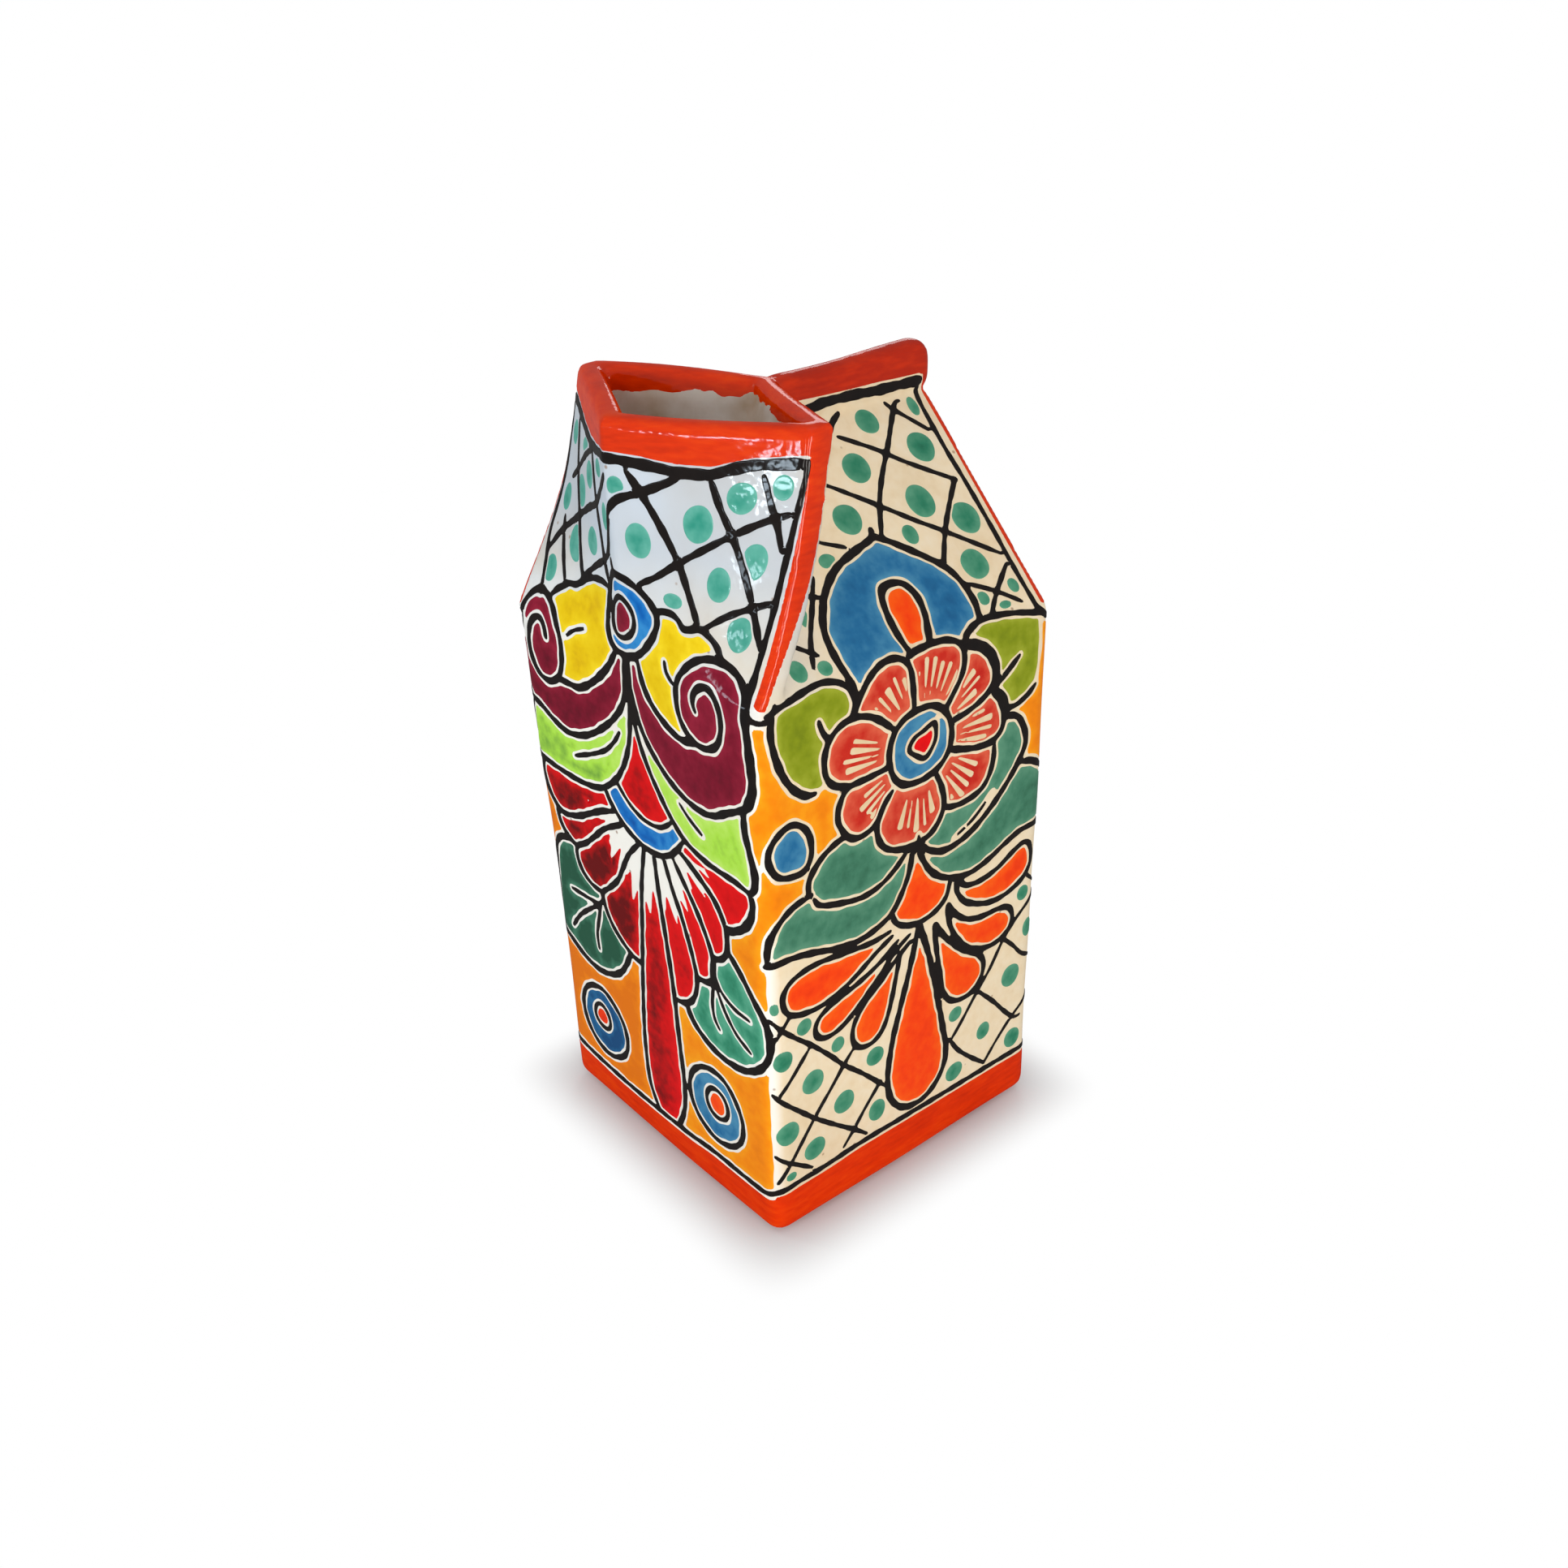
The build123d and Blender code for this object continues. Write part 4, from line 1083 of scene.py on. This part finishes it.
clear = 0.5             # cream cells begin this far from a line
cream_cells = flood(edges > clear, SPOUT, [(20, 198), (-20, 198)])
for side, place in all_sides:
    cream_cells |= flood(edges > clear, side, [(-40, 40), (40, 40)], place)
for side, place in roofs:
    cream_cells |= flood(edges > clear, side, [(20, 225), (-40, 170), (0, 204), (36, 172)], place)
gusset_margin, gusset_reach = 16, 46
gusset_over = (rows_v - fold) * math.sin(gusset_slope)
gusset_half = half - gusset_margin - gusset_over / math.tan(roof_slope)
on_gusset = (rows_v > fold - 1.5) & (rows_v < fold + gusset_reach) & (outlines > clear)
cream_cells |= on_gusset & (gusset_half - np.abs(columns_s - GABLE * side_width) > 0)
near_cream = cream_cells.copy()
for _ in range(3):
    for one, two in ((near_cream[1:], near_cream[:-1]), (near_cream[:, 1:], near_cream[:, :-1])):
        one |= two.copy()
        two |= one.copy()
black = np.minimum(outlines, np.where(near_cream, lattice, untouched))
black_paint = glaze("black_outline", (24, 18, 16), (14, 11, 11), (8, 7, 7), gloss=0.07)
pour("black_lines", black_paint, 0.10 - black, thick=0.22, rim=0.4)

# ---- dots ---------------------------------------------------------------------------------
# One touch of a full brush in each diamond of the lattice: a green with a little blue in it,
# bluer on the spout side. Each is given by its middle and its half sizes.
dot_height = 0.18
spout_dots = [
    (7.9, 196.8, 3.9, 4.6), (2.5, 209.8, 2.5, 2.7), (24.2, 203.2, 4.0, 4.7), (34.3, 210.5, 3.7, 3.9),
    (43.5, 213.9, 2.6, 3.1), (39.7, 196.6, 3.4, 4.5), (31.2, 189.8, 3.5, 4.3), (39.5, 179.7, 3.9, 4.3),
    (17.9, 183.4, 3.2, 2.1), (-45, 176.8, 3.5, 3.6), (-28.6, 186.4, 4.8, 4.9), (-29.4, 199.6, 4.6, 4.4),
    (-26.3, 211.5, 3.7, 2.9), (-4.2, 200.6, 2.5, 3.8), (-20.5, 206.4, 3.5, 3.8), (-17, 190.2, 3.7, 3.8),
    (-41.5, 195, 3.1, 3.6), (-42, 211.5, 2.9, 3.4), (-8.5, 211.6, 3.1, 2.5),
]
roof_dots = [
    (25, 229.8, 3.9, 4), (13.3, 217.7, 4.5, 4.7), (37.9, 218.8, 4.7, 4.8), (43, 231, 1.9, 3.4),
    (2, 204.8, 4.6, 4.6), (27.9, 204, 4.8, 5.1), (18.9, 195.9, 2.7, 3.1), (39.8, 195.8, 4.9, 5),
    (34.3, 182.7, 4.7, 4.6), (-10.6, 195.8, 3, 2.2), (-25.5, 183.5, 2, 3.2), (-35, 171.5, 2.8, 3.1),
    (-27.1, 169.9, 2.4, 2.2), (30.8, 173, 2.3, 2.2), (37, 169.3, 2.6, 1.3), (43, 173.6, 2, 2.4),
]
gusset_dots = [
    (0.5, 166.5, 3.4, 2.4), (-27, 167.5, 3.6, 2.8), (28, 167.5, 3.6, 2.8), (-13, 177, 4.4, 4.2),
    (14, 177, 4.3, 4.3), (0.3, 190, 4.2, 4.4), (0.8, 214, 2.0, 2.6),
    (-25.5, 187, 1.8, 1.8), (26, 187, 1.8, 1.8),
]
panel_dots = [
    (-48, 61, 3.4, 3.5), (-40.5, 69, 2.8, 2.8), (-37.7, 49, 4.1, 4), (-28.4, 57, 2.6, 2.6),
    (-47.1, 35.8, 4.1, 4), (-26.3, 35.8, 4, 3.9), (-37.5, 25.2, 4, 3.8), (-46.3, 20, 2.2, 1.6),
    (-14.4, 45.8, 3.6, 3.2), (-13.6, 25.8, 3.4, 3.9), (17.9, 44.6, 2.9, 2.7), (18.3, 23, 3.7, 3.4),
    (30.6, 32.1, 3, 3.2), (41.8, 47.3, 4.1, 4.1), (48.4, 61.9, 2.8, 3.4), (45.5, 75.4, 2.7, 2.7),
    (44.1, 22.7, 3.7, 3.6), (-50.2, 78.8, 1.6, 2.2),
]


def touches(side, spots, place=None):
    """Depth of a set of dots."""
    depth = np.full((rows, columns), -untouched)
    for u, v, wide, tall in spots:
        u, v = place(u, v) if place else (u, v)
        around = np.hypot((columns_s - u - side * side_width) / wide, (rows_v - v) / tall)
        depth = np.maximum(depth, (1 - around) * min(wide, tall))
    return depth


def dot_room(dots):
    """Dots kept clear of the black lines and inside the lattice."""
    return np.minimum(dots + 0.5 * wobble, np.where(near_cream, black - 0.35, -1))


dots = touches(GABLE, gusset_dots)
for side, place in roofs:
    dots = np.maximum(dots, touches(side, roof_dots, place))
for side, place in all_sides:
    dots = np.maximum(dots, touches(side, panel_dots, place))
green_dot = glaze("dot_green_glaze", (90, 156, 126), (46, 126, 96), (18, 88, 66))
pour("lattice_dots", green_dot, dot_room(dots), dot_height)
teal_dot = glaze("dot_teal_glaze", (98, 176, 158), (48, 146, 126), (20, 108, 92), sheen=0.12)
dots = touches(SPOUT, spout_dots, on_spout)
pour("spout_dots", teal_dot, dot_room(dots), dot_height)

# ---- the bird -----------------------------------------------------------------------------
# A stylised bird on the spout side, with scrolled wings and a fan of tail feathers. Each cell is
# filled from a loaded brush, so the cream glaze shows as a thin halo between line and colour.
bird = ((SPOUT, on_spout),)
# Painted shade: towards the left corner and low down on the spout side, the poured colours turn to their
# deep tones for the shade that falls there.
painted_left_shade = -0.95 * ease(-columns_s, -17, 26) * ease(columns_s, -62, -50) * ease(-rows_v, -178, -66)


def colour_in(name, slot, paint, *fills, keep=None, thick=0.15, tint=painted_left_shade):
    """Pour one colour into the cells that hold the given points of a side's design."""
    cells = np.zeros((rows, columns), bool)
    for sides, seeds in fills:
        for side, place in sides:
            cells |= flood(open_cells, side, seeds, place)
    depth = np.where(cells, room, np.minimum(room, -0.02))
    if keep is not None:
        depth = np.minimum(depth, keep)
    pour(name, paint, depth, thick, tint=tint)


bird_blue = glaze("cobalt_glaze", (50, 140, 205), (8, 102, 184), (2, 62, 140))
colour_in("bird_blue", "cobalt_glaze", bird_blue, (bird, [(8, 176), (0, 111)]))
maroon = glaze("maroon_glaze", (148, 26, 52), (122, 10, 38), (74, 2, 22))
colour_in("wings", "maroon_glaze", maroon,
          (bird, [(-1.7, 173.5), (29, 159), (42, 150), (-47, 156), (-20, 142), (10, 143)]))
yellow = glaze("yellow_glaze", (250, 218, 30), (236, 196, 1), (206, 150, 0))
colour_in("shoulders", "yellow_glaze", yellow, (bird, [(-22, 170), (10, 160)]))
leaf_green = glaze("leaf_green_glaze", (194, 234, 104), (172, 224, 72), (118, 168, 62))
colour_in("sepals", "leaf_green_glaze", leaf_green, (bird, [(-30, 122), (35, 122)]))

# The feathers are brushed out from the root of the tail, which stays bare in a ragged edge.
fan_s, fan_v = columns_s - 0.5, rows_v - 125
fan_angle = np.arctan2(-fan_s, -fan_v)
teeth = 3.0 * np.sin(fan_angle * 34) + 2.2 * np.sin(fan_angle * 57 + 1)
feather_roots = np.hypot(fan_s, fan_v) - (28 + teeth + 8 * np.maximum(np.cos(fan_angle), 0) ** 6)
feather_roots = np.where((np.abs(columns_s) < 58) & (rows_v < 112), feather_roots, untouched)
red = glaze("red_glaze", (234, 6, 10), (210, 0, 4), (104, 0, 2))
colour_in("feathers", "red_glaze", red,
          (bird, [(-1, 122), (36, 108), (30, 97), (23, 86), (12, 80), (2, 50), (-10, 80), (-28, 92),
                  (-40, 98), (-40, 110)]), keep=feather_roots)

# ---- leaves, rings and ground of the spout side -------------------------------------------
# Two leaves hang under the bird, and ringed circles lie below them on a thin ochre ground that
# runs round the left corner.
dark_green = glaze("dark_green_glaze", (94, 150, 122), (66, 124, 98), (34, 84, 62))
colour_in("left_leaf", "dark_green_glaze", dark_green, (bird, [(-45, 85), (-20, 60)]))
bright_green = glaze("bright_green_glaze", (92, 172, 140), (52, 138, 106), (26, 92, 68))
colour_in("right_leaf", "dark_green_glaze", bright_green, (bird, [(45, 63), (36, 80)]))
cobalt = glaze("calla_blue_glaze", (74, 140, 176), (34, 106, 154), (12, 72, 120))
colour_in("ring_blue", "cobalt_glaze", cobalt, (bird, [(-26, 24), (20, 27)]))
orange = glaze("orange_glaze", (255, 96, 10), (250, 66, 1), (232, 46, 1))
colour_in("rings", "orange_glaze", orange, (bird, [(-32, 33), (27, 33.5)]))
ochre = glaze("ochre_glaze", (252, 162, 16), (246, 136, 1), (230, 116, 0))
ground_height = 0.10
colour_in("spout_ground", "ochre_glaze", ochre,
          (bird, [(-49, 97), (40, 93), (-14, 52), (30, 48), (-45, 48), (49.5, 105)]),
          (((SPOUT, None),), [(-56, 100), (-56, 150)]), thick=ground_height)

# ---- calla lilies -------------------------------------------------------------------------
# A blue calla lily with an orange spadix lies on each roof slab, poured in the same two glazes
# as the circles.
colour_in("calla_petals", "cobalt_glaze", cobalt, (roofs, [(-15, 175), (18, 175)]))
colour_in("calla_spadix", "orange_glaze", orange, (roofs, [(4, 175)]))

# ---- daisies ------------------------------------------------------------------------------
# A daisy on each side but the spout's: a red eye in a blue ring, and eight petals in a thinner
# red, with five fine cream strokes brushed out over each. A blue drop lies beside it.
colour_in("daisy_rings", "cobalt_glaze", cobalt, (all_sides, [(-6, 140), (-44, 124)]))
colour_in("daisy_heart", "red_glaze", red, (all_sides, [(1.5, 138.6)]))
daisy_middle = (1.9, 138.9)
stroke_start, flare_start, petal_start, petal_end = 12.2, 13, 10, 30
petals = (              # bearing in degrees, spread of the strokes, and their reach
    (78, 17, 24.5), (38, 15, 25.5), (-7, 14, 27.5), (-45, 15, 27), (-93, 17, 25.5), (-146, 14, 24.5),
    (171, 13, 27.5), (122, 17, 24.5),
)
strokes = np.full((rows, columns), -untouched)
blush = np.zeros((rows, columns))
for side, place in all_sides:
    mid_s, mid_v = place(*daisy_middle)
    wide = place(daisy_middle[0] + 1, daisy_middle[1])[0] - mid_s
    tall = place(daisy_middle[0], daisy_middle[1] + 1)[1] - mid_v
    ds, dv = (columns_s - side * side_width - mid_s) / wide, (rows_v - mid_v) / tall
    radius, turn = np.hypot(ds, dv), np.degrees(np.arctan2(dv, ds))
    on_petals = (radius < petal_end) & (radius > petal_start)
    blush = np.where(on_petals, 0.2 * np.clip((25 - radius) / 9, 0, 1), blush)
    for number, (way, spread, long) in enumerate(petals):
        for step in (-0.92, -0.46, 0, 0.45, 0.92):
            beside = radius * np.radians((turn - way - spread * step + 180) % 360 - 180)
            end = long - 2.2 * step**2 - 0.9 * math.sin(3 * number + 9 * step)
            part = (radius - flare_start) / (end - flare_start)
            flare = 0.34 + (0.78 + 0.3 * math.sin(2 * number + 7 * step)) * part
            wedge = np.minimum(flare - np.abs(beside), np.minimum(end - radius, radius - stroke_start))
            strokes = np.maximum(strokes, np.where(np.abs(beside) < 6, wedge, -untouched))
petal_red = glaze("petal_glaze", (224, 96, 68), (202, 44, 28), (180, 14, 14))
colour_in("daisy_petals", "red_glaze", petal_red,
          (all_sides, [(-10, 158), (6, 160), (23, 152), (26, 138), (20, 124), (0, 118), (-19, 128),
                       (-22, 145)]), tint=blush)
strokes = np.minimum(strokes, black - 0.9)
pour("petal_strokes", cream_paint, strokes, thick=0.20, rim=0.3, step=0.7)

# ---- leaves, drops and ground of the flower sides -----------------------------------------
# Olive and dark green leaves lie about each daisy, a fan of orange tear drops hangs under it,
# and the rest of the upper panel is the same thin ochre ground.
olive = glaze("olive_glaze", (160, 170, 48), (132, 146, 20), (96, 112, 6))
colour_in("olive_leaves", "olive_glaze", olive, (all_sides, [(-42, 155), (38, 160)]))
colour_in("dark_leaves", "dark_green_glaze", dark_green,
          (all_sides, [(-28, 112), (-30, 96), (40, 130), (35, 103)]))
colour_in("tear_drops", "orange_glaze", orange,
          (all_sides, [(2, 92), (-38, 80), (-30, 66), (-16, 58), (2, 40), (18, 58), (30, 68), (38, 84)]))
colour_in("flower_ground", "ochre_glaze", ochre, (all_sides[:1], [(48, 140)]),
          (all_sides[1:], [(-44, 112), (48, 140), (-41, 135.5)]), thick=ground_height)

# ---- orange lip, cut edges, ridge and foot ------------------------------------------------
# Every cut edge of the slabs is banded with thick orange glaze: the lip, over which it runs a
# little way down inside, the spout's cut sides, the ridge, the roof's ends and the foot.
along_band = (0.5, 0.5, 2.2)    # the brush runs level round the vase
band_orange = glaze("orange_band", (238, 76, 6), (218, 50, 1), (182, 34, 1), along_band, sheen=0.11)
foot_orange = glaze("foot_orange", (240, 76, 4), (224, 50, 0), (190, 34, 0), along_band, sheen=0.05)
dry = -5                # depth where no band goes
foot_gap, lip_gap = 1.6, 1.55   # a band ends this far from the middle of the black line by it
foot_under_end = 3.4    # the foot's band runs this far in under the rounded foot
inner_lip_end = 223.2   # heights at which the band ends inside the mouth,
flank_lip_end = 220.0   # on the flanks and the ridge, and at the tips of the cut edges
cut_end, tip_end = 164.2, 165.0
cut_inset, cut_width = 48.9, 3.4
end_inset = 48.3        # the roof's end band starts this far back from the middle
end_width = 6.6


def skim(name, paint, depth, thick=0.16, tint=None):
    """A raised skin on the clay wherever its depth, in mm in from the edge, is above zero."""
    tint = np.zeros(len(depth)) if tint is None else tint
    wet = depth > 0
    touched = clay_triangles[wet[clay_triangles].any(1)]
    index, cloth, edge_spots, triangles = {}, [], {}, []

    def keep(i):
        if i not in index:
            index[i] = len(cloth)
            cloth.append((clay_points[i], clay_normals[i], depth[i], tint[i]))
        return index[i]

    def cross(i, j):
        pair = (min(i, j), max(i, j))
        if pair not in edge_spots:
            a, b = pair
            t = min(max(depth[a] / (depth[a] - depth[b]), 0.08), 0.92)
            edge_spots[pair] = len(cloth)
            cloth.append((clay_points[a] * (1 - t) + clay_points[b] * t,
                          clay_normals[a] * (1 - t) + clay_normals[b] * t, 0.0, tint[a]))
        return edge_spots[pair]

    for corners in touched.tolist():
        ring = []
        for i, j in zip(corners, corners[1:] + corners[:1]):
            if wet[i]:
                ring.append(keep(i))
            if wet[i] != wet[j]:
                ring.append(cross(i, j))
        triangles += [(ring[0], ring[k], ring[k + 1]) for k in range(1, len(ring) - 1)]
    spots, normals, deep, thin = (np.array(part) for part in zip(*cloth))
    normals /= np.linalg.norm(normals, axis=1)[:, None]
    rise = ease(deep, 0, 0.7)
    top = spots + normals * (rise * (thick + sunk) - sunk)[:, None]
    close_skin(name, top, spots - normals * bedded, np.array(triangles), normals, paint, thin)


side_of = np.select([(-y >= np.abs(x)), (x >= np.abs(y)), (y >= np.abs(x))], [SPOUT, FLOWER, GABLE], BACK)
across = np.select([side_of == SPOUT, side_of == FLOWER, side_of == GABLE], [x, y, -x], -y)
around = across * side_width / (2 * half) + side_of * side_width
ragged = 0.5 * np.sin(around * 0.21) + 0.4 * np.sin(around * 0.47 + 1) + 0.25 * np.sin(around * 1.3 + 2)

foot_s, foot_v = np.array(foot_line).T
foot_top = np.interp(around, foot_s, foot_v) - foot_gap - z
foot_under = foot_under_end + ragged + np.maximum(np.abs(x), np.abs(y)) - (half - 4)
foot_depth = np.where(inside | (z > 30), dry, np.minimum(foot_top, foot_under))
skim("foot_band", foot_orange, foot_depth)

# The lip's band ends just above the black line under it, and a little way down the inside.
lip_line = np.array(spout_top[0][1]).T
outer_lip = z - np.interp(x, *lip_line) - lip_gap
inner_lip = z - inner_lip_end + 3.2 * ease(-x, 10, 40) - 1.2 * ragged
flank_lip = z - flank_lip_end
on_front = (y < face_y + lip_half) & ~inside
lip_depth = np.where(inside, inner_lip, np.where(on_front, outer_lip, flank_lip))
lip_depth = np.where(z < 200, dry, lip_depth)

# The cut edges' bands taper down to a rounded tip at the fold.
cut_across = np.abs(x) + np.maximum(y - side_y, 0)
cut_front = cut_across - cut_inset - 0.9 * (1 - ease(z, 166, 196))
cut_back = side_y + cut_width + 4 * ease(z, 166, 200) - y
cut_tip = z - cut_end - 0.5 * np.maximum(0, 52 - np.abs(x))
cut_depth = np.minimum.reduce([cut_front, cut_back, cut_tip])
cut_depth = np.where(inside | (np.abs(x) < side_x - 5), dry, cut_depth)
ridge_depth = np.where((y > -2) & (np.abs(x) < 9) & (z > 210), z - flank_lip_end, dry)
roof_depth = (np.abs(x) - half) * math.sin(roof_slope) + (z - fold) * math.cos(roof_slope)
end_depth = np.minimum.reduce([y - end_inset, roof_depth + end_width, z - tip_end])
edge_depth = np.maximum.reduce([lip_depth, cut_depth, ridge_depth, end_depth])
ridge_pooled = -0.62 * ease(y, -12, 8) * ease(z, 214, 220)     # the ridge has a thicker coat
skim("edge_bands", band_orange, edge_depth, tint=ridge_pooled)

# ---- bare foot ----------------------------------------------------------------------------
# The underside is wiped clean of glaze so that the vase doesn't stick to the kiln shelf, and
# shows the bare red earthenware.
bare_margin = 13        # the glaze runs in under the foot by this much
bare_paint = glaze("bare_clay", (190, 118, 78), (168, 96, 62), (140, 76, 48), gloss=0.5, sheen=0.02)
bare_depth = half - bare_margin + ragged - np.maximum(np.abs(x), np.abs(y))
bare_depth = np.where((z < 3) & (upward < -0.5), bare_depth, dry)
skim("bare_foot", bare_paint, bare_depth, thick=0.05)
